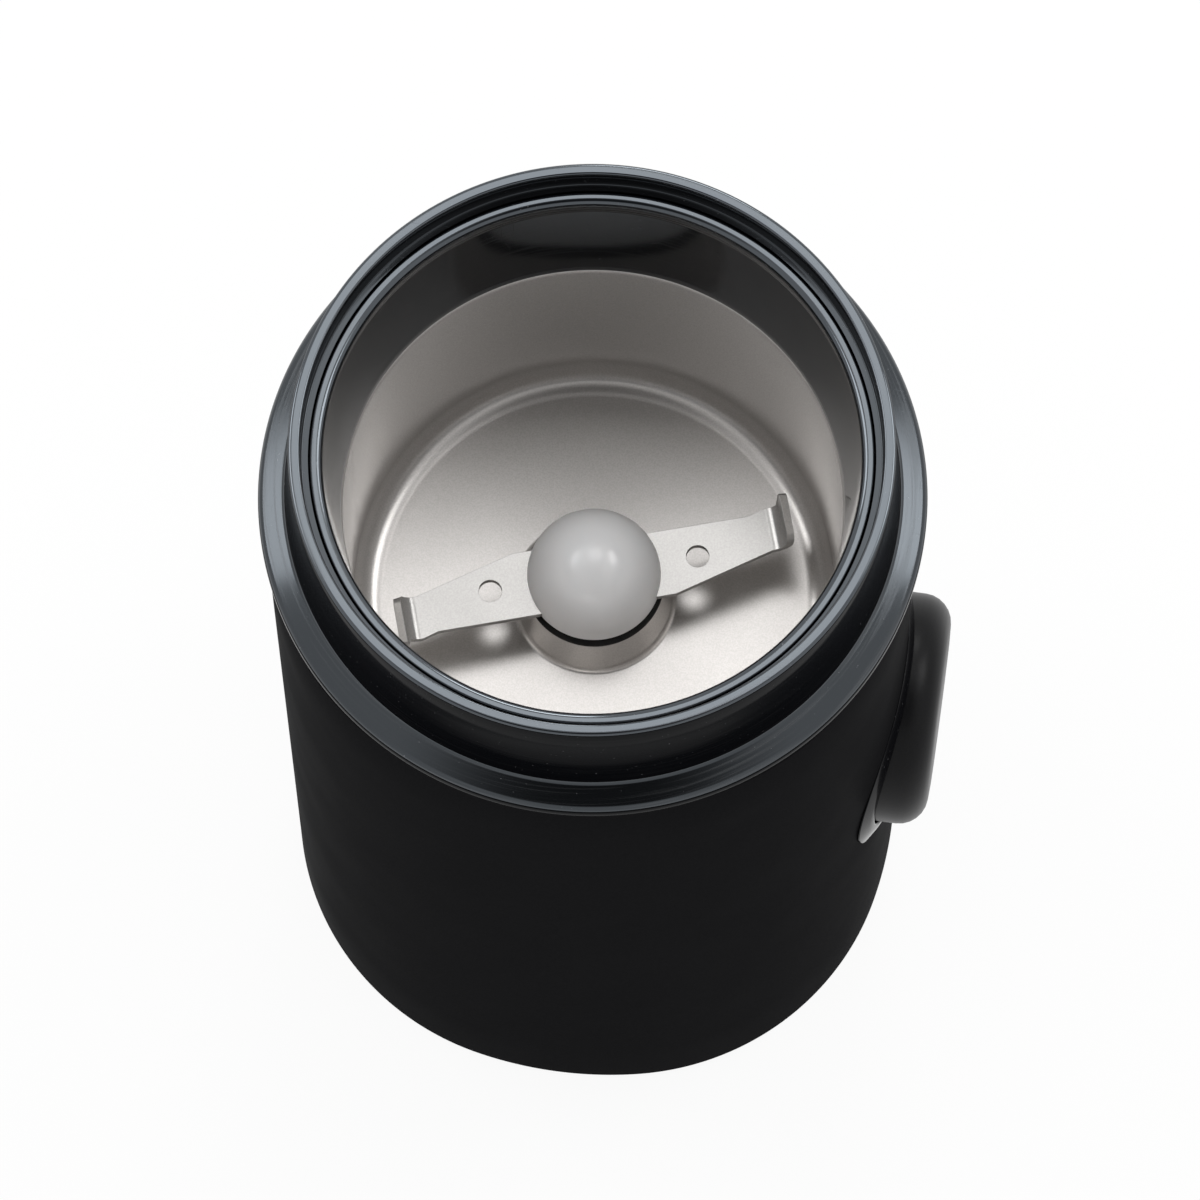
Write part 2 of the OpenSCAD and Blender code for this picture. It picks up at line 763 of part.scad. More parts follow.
module switch_body() {
    base_z = deck_under_z - switch_h;
    ear_x = pivot_x + pin_r + 1;
    color([0.09, 0.09, 0.1]) difference() {
        union() {
            translate([switch_in, -switch_w / 2, base_z]) cube([switch_out - switch_in, switch_w, switch_h]);
            // ears of the lever's pin
            for (y = [-1, 1]) translate([switch_out - 1, y * (switch_w / 2 - 0.6) - 0.6, pivot_z - 2.2])
                cube([ear_x - switch_out + 1, 1.2, 4.4]);
        }
        translate([pivot_x, -10, pivot_z]) rotate([-90, 0, 0]) cylinder(h = 20, r = pin_r);
        translate([switch_out - 3.2, 0, plunger_z]) rotate([0, 90, 0])
            cylinder(h = 10, r = plunger_r + run_gap);
        for (z = switch_screw_z) translate([switch_mid, -10, z]) rotate([-90, 0, 0])
            cylinder(h = 20, r = switch_screw_r + 0.05);
    }
}

module switch_terminals() {
    tab_l = 5;
    color([0.8, 0.75, 0.6]) for (y = [-3, 3])
        translate([switch_mid - 2, y - 0.4, deck_under_z - switch_h - tab_l]) difference() {
            cube([4, 0.8, tab_l]);
            translate([2, -1, 1.8]) rotate([-90, 0, 0]) cylinder(h = 3, r = 0.7);
        }
}

module switch_screws() {
    nut_room = 2.1;
    reach = switch_w / 2 + nut_room;
    color([0.7, 0.7, 0.72]) for (z = switch_screw_z) translate([switch_mid, -reach, z]) rotate([-90, 0, 0]) {
        cylinder(h = 2 * reach, r = switch_screw_r);
        translate([0, 0, -1]) cylinder(h = 1, r = 1.9);
        translate([0, 0, 2 * reach]) cylinder(h = 1.2, r = 1.8);
    }
}

module lever_pin() {
    color([0.75, 0.75, 0.77]) translate([pivot_x, -switch_w / 2 - 0.3, pivot_z]) rotate([-90, 0, 0])
        cylinder(h = switch_w + 0.6, r = pin_r);
}

module switch_lever() {
    foot_z = button_z - 2.5;
    color([0.78, 0.78, 0.76]) difference() {
        union() {
            translate([lever_x, -lever_w / 2, foot_z]) cube([lever_t, lever_w, pivot_z - foot_z]);
            translate([pivot_x, -lever_w / 2, pivot_z]) rotate([-90, 0, 0])
                cylinder(h = lever_w, r = pin_r + 0.7);
        }
        translate([pivot_x, -10, pivot_z]) rotate([-90, 0, 0]) cylinder(h = 20, r = pin_r + 0.05);
    }
}

module switch_plunger() {
    color([0.85, 0.2, 0.15]) translate([switch_out - 1.8, 0, plunger_z]) rotate([0, 90, 0])
        cylinder(h = lever_x - run_gap - switch_out + 1.8, r = plunger_r);
}

module capacitor() {
    color([0.75, 0.6, 0.15]) translate([-cap_x_out, -cap_w / 2, plate_top_z]) cube([cap_t, cap_w, cap_h]);
}

module thermal_cutout() {
    color([0.85, 0.85, 0.86]) translate([1 - post_x, -cutout_l / 2, cradle_top_z + cutout_r])
        rotate([-90, 0, 0]) {
            cylinder(h = cutout_l, r = cutout_r);
            translate([0, 0, -2]) cylinder(h = cutout_l + 4, r = 0.5);
        }
}

module shaft() {
    bottom = lower_bush_z - 1;
    shoulder = hub_bottom_z + 0.4;
    color([0.78, 0.78, 0.8]) {
        translate([0, 0, bottom]) cylinder(h = shoulder - bottom, r = shaft_r);
        translate([0, 0, shoulder - tiny]) cylinder(h = 6.5, r = thread_r);
    }
}

module thrust_washers() {
    color([0.9, 0.88, 0.8]) for (z = [lower_bush_z + lower_bush_h + run_gap, upper_bush_z - run_gap - 0.8])
        translate([0, 0, z]) tube(0.8, shaft_r + 2.6, shaft_r);
}

module rotor_core() {
    slot = 360 / rotor_slots;
    color([0.5, 0.5, 0.52]) translate([0, 0, stack_z + 0.5]) linear_extrude(stack_h - 1) difference() {
        circle(rotor_r);
        circle(shaft_r);
        for (i = [0:rotor_slots - 1]) rotate(i * slot) {
            translate([rotor_r - 6, -1]) square([5, 2]);
            translate([rotor_r - 2, -0.6]) square([3, 1.2]);
        }
    }
}

module rotor_windings() {
    slot = 360 / rotor_slots;
    low = stack_z - end_turn_h + 0.6;
    color([0.74, 0.4, 0.18]) {
        for (z = [low, stack_top_z - 0.5]) translate([0, 0, z]) rotate_extrude()
            translate([shaft_r + 5, (end_turn_h - 0.1) / 2]) rounded_rect(7.4, end_turn_h - 0.1, 2.4);
        for (i = [0:rotor_slots - 1]) rotate([0, 0, i * slot])
            translate([rotor_r - 5.6, -0.8, low + 2]) cube([4, 1.6, stack_top_z - low + 1]);
    }
}

module commutator() {
    bars = rotor_slots;
    color([0.75, 0.45, 0.25]) translate([0, 0, comm_z]) difference() {
        union() {
            cylinder(h = comm_h, r = comm_r);
            translate([0, 0, comm_h - 1.5]) cylinder(h = 1.5, r = comm_r + 1.2);
        }
        translate([0, 0, -1]) cylinder(h = comm_h + 2, r = shaft_r);
        for (i = [0:bars - 1]) rotate([0, 0, i * 360 / bars])
            translate([comm_r - 1, -0.25, -1]) cube([4, 0.5, comm_h + 2]);
    }
}

module cooling_fan() {
    color([0.16, 0.16, 0.17]) translate([0, 0, fan_z]) difference() {
        union() {
            cylinder(h = fan_t, r = fan_r);
            cylinder(h = fan_h, r = shaft_r + 3);
            for (i = [0:fan_blades - 1]) rotate([0, 0, i * 360 / fan_blades])
                translate([shaft_r + 3.5, -2, 0]) rotate([0, 0, 12])
                    cube([fan_r - shaft_r - 5, 1.2, fan_h]);
        }
        translate([0, 0, -1]) cylinder(h = fan_h + 2, r = shaft_r);
    }
}

// Half of the blade's flat outline, along +X
module arm_outline() {
    polygon([
        [-1, blade_back], [blade_reach - 2.3, blade_back], [blade_reach, blade_back + 0.7],
        [blade_reach + 0.3, -1], [11, -blade_front], [-1, -blade_front]]);
}

// The bent tip in profile, from the flat to its free edge
module tip_profile() {
    difference() {
        circle(bend_r + blade_t);
        circle(bend_r);
        translate([-10, -10]) square([10, 20]);
        for (a = [tip_angle - 90, tip_angle]) rotate(a) square([20, 20]);
    }
    rotate(tip_angle) translate([-tiny, -bend_r - blade_t]) square([tip_len, blade_t]);
    translate([-2, -bend_r - blade_t]) square([2 + tiny, blade_t]);
}

// The bent tip's outline, seen along the arm: its horn rises behind the blade's back edge
module tip_outline() {
    back = blade_back + 0.7;
    horn = back + horn_w;
    foot = blade_t / 2;
    top = foot + bend_r * (1 - cos(tip_angle)) + tip_len * sin(tip_angle);
    difference() {
        polygon([[-1, -2], [back, -2], [back, foot], [horn, foot + horn_w], [horn, top], [-1, top]]);
        corner_cut(horn, top, 0.5, 1, 1);
        corner_cut(-1, top, 1.4, -1, 1);
    }
}

module arm() {
    edge_angle = atan2(blade_front - 1, blade_reach + 0.3 - 11);
    end_turn = 3;
    difference() {
        translate([0, 0, -blade_t / 2]) linear_extrude(blade_t) arm_outline();
        translate([blade_hole_at, 0, -5]) cylinder(h = 10, r = blade_hole_d / 2);
        // ground cutting edge
        translate([11, -blade_front, -blade_t / 2 + 0.3]) rotate([0, 0, edge_angle])
            rotate([28, 0, 0]) translate([-14, -6, 0]) cube([40, 6, 4]);
    }
    // bent tip
    intersection() {
        translate([blade_reach, blade_back + 0.7, bend_r + blade_t / 2]) rotate([0, 0, end_turn])
            translate([0, horn_w, 0]) rotate([90, 0, 0]) linear_extrude(blade_back + 1.7 + horn_w)
                tip_profile();
        translate([blade_reach, 0, 0]) rotate([0, 0, end_turn]) translate([-4, 0, 0])
            rotate([90, 0, 90]) linear_extrude(10) tip_outline();
    }
}

module blade() {
    color([0.8, 0.79, 0.77]) translate([0, 0, blade_z]) rotate([0, 0, blade_turn]) difference() {
        union() {
            arm();
            rotate([0, 0, 180]) arm();
        }
        translate([0, 0, -5]) cylinder(h = 10, r = insert_r);
    }
}

module blade_hub() {
    centre_z = blade_z - 0.5;
    color([0.86, 0.86, 0.85]) difference() {
        rotate_extrude() {
            intersection() {
                translate([0, centre_z]) circle(hub_r);
                translate([0, centre_z]) square([hub_r + 1, hub_r + 1]);
            }
            translate([0, hub_bottom_z]) polygon([
                [0, 0], [hub_r - 0.8, 0], [hub_r, 0.8], [hub_r, centre_z - hub_bottom_z],
                [0, centre_z - hub_bottom_z]]);
        }
        translate([0, 0, blade_z]) rotate([0, 0, blade_turn]) translate([0, 0, -blade_t / 2])
            linear_extrude(blade_t) {
                arm_outline();
                rotate(180) arm_outline();
            }
        translate([0, 0, hub_bottom_z - 1]) cylinder(h = 9.2, r = insert_r);
    }
}

module hub_insert() {
    color([0.78, 0.62, 0.3]) translate([0, 0, hub_bottom_z + 0.4]) difference() {
        cylinder(h = 7.6, r = insert_r);
        translate([0, 0, -1]) cylinder(h = 7.6, r = thread_r);
    }
}

housing();
collar();
inner_sleeve();
bowl();
bowl_gasket();
shaft_seal();
button_bezel();
button_guide();
push_button();
button_spring();
base_plate();
rubber_feet();
base_screws();
cord_inlet();
motor_deck();
motor_cradle();
motor_screws();
deck_washers();
stator_core();
field_coils();
upper_bush();
lower_bush();
brush_holders();
carbon_brushes();
brush_springs();
switch_body();
switch_terminals();
switch_screws();
lever_pin();
switch_lever();
switch_plunger();
capacitor();
thermal_cutout();
shaft();
thrust_washers();
rotor_core();
rotor_windings();
commutator();
cooling_fan();
blade();
blade_hub();
hub_insert();
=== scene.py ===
# %% [markdown]
# # An electric spice grinder, dressed
# The object is the base of a small blade grinder, open at the top. A softly squared black housing holds a motor.
# A glossy collar closes it and takes a lid. Inside sits a steel bowl with a two-armed blade under a white hub,
# and one large push button stands out of the side.
#
# The CAD model already gives every size and place, so this script only gives the looks. It opens the CAD model
# as a fixed frame, builds finer meshes for what the eye meets, and gives every piece a finish of its own.

import json
import math

import bmesh
import bpy
from mathutils import Matrix, Vector


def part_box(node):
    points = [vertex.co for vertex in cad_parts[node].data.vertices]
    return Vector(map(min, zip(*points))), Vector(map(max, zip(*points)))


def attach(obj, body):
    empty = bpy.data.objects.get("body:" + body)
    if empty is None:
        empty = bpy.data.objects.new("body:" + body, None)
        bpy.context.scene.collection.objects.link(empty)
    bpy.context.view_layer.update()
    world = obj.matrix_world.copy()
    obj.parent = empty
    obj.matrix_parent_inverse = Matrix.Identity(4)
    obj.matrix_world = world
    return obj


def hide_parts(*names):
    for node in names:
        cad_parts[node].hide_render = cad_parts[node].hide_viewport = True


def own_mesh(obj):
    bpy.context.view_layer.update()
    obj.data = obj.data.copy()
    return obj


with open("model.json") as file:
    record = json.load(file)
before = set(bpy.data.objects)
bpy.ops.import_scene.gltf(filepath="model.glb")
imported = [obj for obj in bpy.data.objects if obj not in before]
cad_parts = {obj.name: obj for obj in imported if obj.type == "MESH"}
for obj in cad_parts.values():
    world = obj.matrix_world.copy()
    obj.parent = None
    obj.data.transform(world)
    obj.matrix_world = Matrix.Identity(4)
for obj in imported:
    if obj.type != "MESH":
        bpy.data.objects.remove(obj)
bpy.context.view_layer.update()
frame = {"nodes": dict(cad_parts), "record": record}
MM = 0.001

# %% [markdown]
# ## Camera
# The camera looks down steeply, 71 degrees below the horizon, from far away with a long lens. A long lens keeps
# the rim's circles and the foot of the housing close to the same size, which is how such a small product is
# usually shown. It could be aimed with a Track To constraint. Here its turn is written as three plain rotations,
# heading, tilt and roll, because then each can be trimmed by a fraction of a degree.

# %% Camera
CAMERA_AWAY = 419.10 * MM
CAMERA_HEIGHT = 1313.80 * MM
CAMERA_HEADING = math.radians(9.0)
CAMERA_TILT = math.radians(90 - 71.08)
CAMERA_PAN = math.radians(-0.108)
CAMERA_ROLL = math.radians(-0.88)
LENS = 270
SENSOR = 36
NEAREST, FARTHEST = 0.05, 30

camera = bpy.data.objects.new("camera", bpy.data.cameras.new("camera"))
bpy.context.scene.collection.objects.link(camera)
bpy.context.scene.camera = camera
camera.data.lens = LENS
camera.data.sensor_width = SENSOR
camera.data.clip_start = NEAREST
camera.data.clip_end = FARTHEST
stand = Vector((CAMERA_AWAY * math.sin(CAMERA_HEADING), -CAMERA_AWAY * math.cos(CAMERA_HEADING),
                CAMERA_HEIGHT))
camera.matrix_world = (
    Matrix.Translation(stand)
    @ Matrix.Rotation(CAMERA_HEADING + CAMERA_PAN, 4, "Z")
    @ Matrix.Rotation(CAMERA_TILT, 4, "X")
    @ Matrix.Rotation(CAMERA_ROLL, 4, "Z")
)
print("camera stands", round(stand.length, 3), "m from the foot of the drive axis")

# %% [markdown]
# ## Helpers
# Floor, surroundings and finishes are all trees of nodes, and the same steps come back in each: feed an input,
# work out a number or a vector, map one range onto another. A few small functions take them up, so that the
# cells below read like sums. The trees could be drawn by hand in the node editor, but a script can be rerun.


# %% Nodes and objects
def feed(links, entry, value):
    """Gives an input a plain value, or the output of another node."""
    if isinstance(value, bpy.types.NodeSocket):
        links.new(value, entry)
    elif entry.type == "RGBA":
        entry.default_value = (*value, 1)
    else:
        entry.default_value = value


def compute(nodes, links, operation, *values, kind="ShaderNodeMath", result="Value"):
    """Works out a number from plain values and from the outputs of other nodes."""
    node = nodes.new(kind)
    node.operation = operation
    for entry, value in zip(node.inputs, values):
        feed(links, entry, value)
    return node.outputs[result]


def compute_vector(nodes, links, operation, *values):
    """The same with vectors. A dot product and a length give a number, the rest give a vector."""
    result = "Value" if operation in ("DOT_PRODUCT", "LENGTH") else "Vector"
    return compute(nodes, links, operation, *values, kind="ShaderNodeVectorMath", result=result)


def spread(nodes, links, value, low, high, start=0.3, end=0.7, smooth=False):
    """Maps a value from start..end to low..high, and holds it there outside."""
    ramp = nodes.new("ShaderNodeMapRange")
    if smooth:
        ramp.interpolation_type = "SMOOTHSTEP"
    ramp.inputs["From Min"].default_value = start
    ramp.inputs["From Max"].default_value = end
    ramp.inputs["To Min"].default_value = low
    ramp.inputs["To Max"].default_value = high
    links.new(value, ramp.inputs["Value"])
    return ramp.outputs["Result"]


def make_object(name, shape):
    """Turns a bmesh into an object of the scene."""
    mesh = bpy.data.meshes.new(name)
    shape.to_mesh(mesh)
    shape.free()
    made = bpy.data.objects.new(name, mesh)
    bpy.context.scene.collection.objects.link(made)
    return made


print("helpers ready")

# %% [markdown]
# ## Floor and light
# Black plastic and steel have hardly any colour of their own. What the eye reads on them is the room, so the
# room is part of the finish. The floor is pale, and part of its light is its own, which keeps the background
# white while the object's soft shadow stays. The surroundings are an almost even dome, a little brighter behind
# the object on its right, with a dark patch round the camera. Whatever faces the camera mirrors that patch, so
# without it the front of the shoulder would turn grey. A picture of a studio would do the same, but a plain
# gradient can be read and changed.

# %% Floor
FLOOR_SIZE = 6.0
FLOOR_COLOUR = (0.93, 0.93, 0.93)
FLOOR_ROUGHNESS = 0.9
FLOOR_OWN_LIGHT = 0.92

floor_shape = bmesh.new()
bmesh.ops.create_circle(floor_shape, cap_ends=True, segments=96, radius=FLOOR_SIZE / 2)
floor = make_object("floor", floor_shape)

floor_finish = bpy.data.materials.new("pale_floor")
floor_finish.use_nodes = True
floor_nodes = floor_finish.node_tree.nodes
floor_links = floor_finish.node_tree.links
floor_shader = floor_nodes["Principled BSDF"]
feed(floor_links, floor_shader.inputs["Base Color"], FLOOR_COLOUR)
floor_shader.inputs["Roughness"].default_value = FLOOR_ROUGHNESS
floor_shader.inputs["Specular IOR Level"].default_value = 0.0
own_light = floor_nodes.new("ShaderNodeEmission")
rays = floor_nodes.new("ShaderNodeLightPath").outputs
seen = compute(floor_nodes, floor_links, "MAXIMUM", rays["Is Camera Ray"], rays["Is Glossy Ray"])
seen = compute(floor_nodes, floor_links, "MAXIMUM", seen, rays["Is Transmission Ray"])
both = floor_nodes.new("ShaderNodeMixShader")
floor_links.new(compute(floor_nodes, floor_links, "MULTIPLY", seen, FLOOR_OWN_LIGHT), both.inputs[0])
floor_links.new(floor_shader.outputs[0], both.inputs[1])
floor_links.new(own_light.outputs[0], both.inputs[2])
floor_links.new(both.outputs[0], floor_nodes["Material Output"].inputs["Surface"])
floor.data.materials.append(floor_finish)
print("floor is", FLOOR_SIZE, "m across")

# %% Surroundings
WORLD_DIM = 0.80
WORLD_BRIGHT = 0.85
BRIGHT_SIDE = math.radians(40)
BRIGHT_START, BRIGHT_END = -0.25, 0.2
PATCH_START, PATCH_END = 0.88, 0.985
PATCH_LIGHT = 0.05
bright_way = Vector((0, 1, 0))
bright_way.rotate(Matrix.Rotation(CAMERA_HEADING - BRIGHT_SIDE, 3, "Z"))

world = bpy.data.worlds.new("studio")
bpy.context.scene.world = world
world.use_nodes = True
world_nodes = world.node_tree.nodes
world_links = world.node_tree.links
backdrop = world_nodes["Background"]
backdrop.inputs["Color"].default_value = (1, 1, 1, 1)
direction = world_nodes.new("ShaderNodeTexCoord").outputs["Generated"]
towards_bright = compute_vector(world_nodes, world_links, "DOT_PRODUCT", direction, bright_way)
strength = spread(world_nodes, world_links, towards_bright, WORLD_DIM, WORLD_BRIGHT,
                  BRIGHT_START, BRIGHT_END, smooth=True)
towards_camera = compute_vector(world_nodes, world_links, "DOT_PRODUCT", direction, stand.normalized())
patch = spread(world_nodes, world_links, towards_camera, 1.0, PATCH_LIGHT, PATCH_START, PATCH_END, smooth=True)
world_links.new(compute(world_nodes, world_links, "MULTIPLY", strength, patch), backdrop.inputs["Strength"])
print("surroundings: a dome from", WORLD_DIM, "to", WORLD_BRIGHT)

# %% [markdown]
# ## Lamps
# Each lamp stands where a piece mirrors it. One stands high behind the object, where the bowl's floor mirrors it
# towards the camera. One is lower behind and draws the thin bright lines along the edges. One on each side
# lights the flanks of the shoulder. None hangs right overhead: the dark zone behind the hub is the black sleeve
# mirrored in the bowl's floor, and a lamp up there would fill it.

# %% Lamps
LAMP_AIM = Vector((0, 0, 100 * MM))


def soft_lamp(name, azimuth, elevation, distance, width, height, power):
    """A rectangular lamp that faces the middle of the object. Azimuth 0 is behind it, 90 on its right."""
    lamp = bpy.data.objects.new(name, bpy.data.lights.new(name, "AREA"))
    lamp.data.shape = "RECTANGLE"
    lamp.data.size = width
    lamp.data.size_y = height
    lamp.data.energy = power
    side, rise = math.radians(azimuth) - CAMERA_HEADING, math.radians(elevation)
    way = Vector((math.sin(side) * math.cos(rise), math.cos(side) * math.cos(rise), math.sin(rise)))
    lamp.location = LAMP_AIM + way * distance
    lamp.rotation_euler = (-way).to_track_quat("-Z", "Y").to_euler()
    bpy.context.scene.collection.objects.link(lamp)
    print(name, "at", [round(x, 2) for x in lamp.location])


soft_lamp("lamp_above", azimuth=4, elevation=71, distance=1.2, width=0.45, height=0.4, power=1.1)
soft_lamp("lamp_back", azimuth=10, elevation=40, distance=1.3, width=0.35, height=0.3, power=2.4)
soft_lamp("lamp_left", azimuth=-64, elevation=49, distance=1.3, width=0.5, height=0.55, power=3.0)
soft_lamp("lamp_right", azimuth=66, elevation=50, distance=1.3, width=0.5, height=0.55, power=3.4)

# %% [markdown]
# ## Finishes
# Every finish starts from one Principled shader. What makes plastic look moulded and steel look worked is never
# the one number for its colour, but how colour, gloss and height change from place to place. So each finish
# mixes small noises, measured in millimetres on the piece itself, into those three. A helper wires them up:
# fine grain gives the height, a broad mottle shifts the gloss, and a faint mottle shifts the colour.


# %% A start for every finish
def start_finish(name, colour, roughness, metallic=0.0, gloss=0.5):
    """A material with its shader set, and the object's own coordinates in millimetres."""
    finish = bpy.data.materials.new(name)
    finish.use_nodes = True
    nodes, links = finish.node_tree.nodes, finish.node_tree.links
    shader = nodes["Principled BSDF"]
    feed(links, shader.inputs["Base Color"], colour)
    shader.inputs["Roughness"].default_value = roughness
    shader.inputs["Metallic"].default_value = metallic
    shader.inputs["Specular IOR Level"].default_value = gloss
    place = nodes.new("ShaderNodeTexCoord").outputs["Object"]
    where = compute_vector(nodes, links, "MULTIPLY", place, [1 / MM] * 3)
    return finish, nodes, links, shader, where


def noise(nodes, links, where, size, detail=2.0, stretch=(1, 1, 1)):
    """A noise whose spots are about size millimetres across, drawn out by stretch."""
    mapping = nodes.new("ShaderNodeMapping")
    mapping.inputs["Scale"].default_value = [1 / (size * s) for s in stretch]
    links.new(where, mapping.inputs["Vector"])
    spots = nodes.new("ShaderNodeTexNoise")
    spots.inputs["Scale"].default_value = 1.0
    spots.inputs["Detail"].default_value = detail
    links.new(mapping.outputs["Vector"], spots.inputs["Vector"])
    return spots.outputs["Fac"]


def blend_colours(nodes, links, value, first, second):
    """Goes from the first colour to the second as value goes from 0 to 1."""
    mix = nodes.new("ShaderNodeMix")
    mix.data_type = "RGBA"
    feed(links, mix.inputs["A"], first)
    feed(links, mix.inputs["B"], second)
    links.new(value, mix.inputs["Factor"])
    return mix.outputs["Result"]


def raise_grain(nodes, links, shader, height, depth, below=None):
    """Bumps the surface by height times depth millimetres, on top of an earlier bump."""
    bump = nodes.new("ShaderNodeBump")
    bump.inputs["Strength"].default_value = 1.0
    bump.inputs["Distance"].default_value = depth * MM
    links.new(height, bump.inputs["Height"])
    if below:
        links.new(below, bump.inputs["Normal"])
    links.new(bump.outputs["Normal"], shader.inputs["Normal"])
    return bump.outputs["Normal"]


print("finish helpers ready")

# %% [markdown]
# ## Moulded plastics
# The housing is moulded in a tool with an etched face, which leaves a fine satin grain that scatters highlights.
# The collar and bezel come from polished tools, so they mirror the room and show what daily use leaves: hair
# scratches, a little dust, and faint streaks round the rim where the lid is turned on and off. A painted texture
# could give all that, but a noise at the real grain size holds up at any distance. Scratches come from noises
# stretched some fifty times longer than wide. The upright walls are given almost no gloss, because seen at a
# slant they would mirror the white floor.


# %% Satin black of the housing
def satin_black(name, colour, roughness, gloss, grain, depth):
    finish, nodes, links, shader, where = start_finish(name, colour, roughness, gloss=gloss)
    fine = noise(nodes, links, where, size=grain, detail=3)
    broad = noise(nodes, links, where, size=14, detail=2)
    links.new(spread(nodes, links, broad, low=roughness - 0.02, high=roughness + 0.03),
              shader.inputs["Roughness"])
    worn = [c * 1.25 + 0.001 for c in colour]
    links.new(blend_colours(nodes, links, spread(nodes, links, fine, 0, 1), colour, worn),
              shader.inputs["Base Color"])
    raise_grain(nodes, links, shader, fine, depth)
    return finish


housing_black = satin_black("housing_black", (0.0070, 0.0070, 0.0076), roughness=0.42, gloss=0.0006,
                            grain=0.35, depth=0.008)
button_black = satin_black("button_black", (0.0052, 0.0052, 0.0058), roughness=0.34, gloss=0.14,
                           grain=0.28, depth=0.006)
print("satin blacks:", housing_black.name, button_black.name)


# %% Streaks round the axis
def round_streaks(nodes, links, where, width, length):
    """A noise drawn out round the Z axis, as a turning lid rubs it in: width across and length along a streak."""
    height = nodes.new("ShaderNodeSeparateXYZ")
    links.new(where, height.inputs[0])
    flat = compute_vector(nodes, links, "MULTIPLY", where, (1, 1, 0))
    section = nodes.new("ShaderNodeCombineXYZ")
    links.new(compute_vector(nodes, links, "LENGTH", flat), section.inputs[0])
    links.new(height.outputs["Z"], section.inputs[1])
    across = compute_vector(nodes, links, "MULTIPLY", section.outputs["Vector"], [1 / width] * 3)
    along = compute_vector(nodes, links, "MULTIPLY_ADD", where, [1 / length] * 3, across)
    return noise(nodes, links, along, size=1.0, detail=2)


print("streak helper ready")

# %% Gloss black of the collar
GLOSS_IOR = 1.8
GLOSS_TINT = (0.82, 0.91, 1.0)
HAIR_WIDTH, HAIR_LEVELS, HAIR_DULLS = 0.10, (0.74, 0.86), 0.12
STREAK_WIDTH, STREAK_LENGTH, STREAK_LEVELS = 0.45, 18, (0.50, 0.72)
STREAK_DULLS, STREAK_PALES = 0.10, 0.030
DUST_SIZE, DUST_LEVELS, DUST_COLOUR = 0.30, (0.83, 0.88), (0.10, 0.10, 0.105)


def gloss_black(name, colour, roughness, gloss, rubbed=0.0):
    finish, nodes, links, shader, where = start_finish(name, colour, roughness, gloss=gloss)
    shader.inputs["IOR"].default_value = GLOSS_IOR
    feed(links, shader.inputs["Specular Tint"], GLOSS_TINT)
    hairs = noise(nodes, links, where, HAIR_WIDTH, detail=1, stretch=(1, 50, 60))
    cross_hairs = noise(nodes, links, where, HAIR_WIDTH, detail=1, stretch=(45, 1, 70))
    scratched = spread(nodes, links, compute(nodes, links, "MAXIMUM", hairs, cross_hairs), 0, 1, *HAIR_LEVELS)
    streaks = spread(nodes, links, round_streaks(nodes, links, where, STREAK_WIDTH, STREAK_LENGTH),
                     0, 1, *STREAK_LEVELS)
    haze = spread(nodes, links, streaks, low=roughness - 0.02, high=roughness + 0.02 + STREAK_DULLS * rubbed,
                  start=0, end=1)
    links.new(compute(nodes, links, "MULTIPLY_ADD", scratched, HAIR_DULLS, haze), shader.inputs["Roughness"])
    plain = blend_colours(nodes, links, streaks, colour, [c + STREAK_PALES * rubbed for c in colour])
    specks = spread(nodes, links, noise(nodes, links, where, DUST_SIZE, detail=0), 0, 1, *DUST_LEVELS)
    links.new(blend_colours(nodes, links, specks, plain, DUST_COLOUR), shader.inputs["Base Color"])
    wavy = raise_grain(nodes, links, shader, noise(nodes, links, where, size=22, detail=1), depth=0.04)
    raise_grain(nodes, links, shader, scratched, depth=-0.002, below=wavy)
    return finish


collar_black = gloss_black("collar_black", (0.0026, 0.0028, 0.0036), roughness=0.12, gloss=0.003, rubbed=0.12)
shoulder_black = gloss_black("shoulder_black", (0.0026, 0.0028, 0.0034), roughness=0.15, gloss=0.48, rubbed=1.0)
land_black = gloss_black("land_black", (0.0030, 0.0034, 0.0048), roughness=0.08, gloss=0.7, rubbed=0.9)
sleeve_black = gloss_black("sleeve_black", (0.0060, 0.0062, 0.0070), roughness=0.08, gloss=0.30, rubbed=0.1)
bezel_black = gloss_black("bezel_black", (0.0034, 0.0034, 0.0042), roughness=0.10, gloss=0.010)
print("gloss blacks:", collar_black.name, shoulder_black.name, land_black.name, sleeve_black.name,
      bezel_black.name)

# %% [markdown]
# ## Steel
# The bowl is spun from sheet and then blasted to a satin, so its gloss is broken up by very small specks with no
# direction. The blade is stamped and barrel polished. A blasted or tumbled face throws part of its light in all
# directions, and a full metal in the shader never does. So both are a little more than half metallic, which
# lifts the parts that mirror the black sleeve. The plated screws and springs are full metals. An image of
# brushed steel would do for a flat sheet, but on a bowl it would stretch, while a noise read in the bowl's own
# space does not.


# %% Satin steel
def satin_steel(name, colour, roughness, speck, uneven, depth, metallic=1.0):
    finish, nodes, links, shader, where = start_finish(name, colour, roughness, metallic=metallic)
    specks = noise(nodes, links, where, size=speck, detail=3)
    clouds = noise(nodes, links, where, size=11, detail=3)
    links.new(spread(nodes, links, clouds, low=roughness - uneven, high=roughness + uneven),
              shader.inputs["Roughness"])
    darker = [c * 0.86 for c in colour]
    links.new(blend_colours(nodes, links, spread(nodes, links, specks, 0, 1, 0.35, 0.65), darker, colour),
              shader.inputs["Base Color"])
    raise_grain(nodes, links, shader, specks, depth)
    return finish


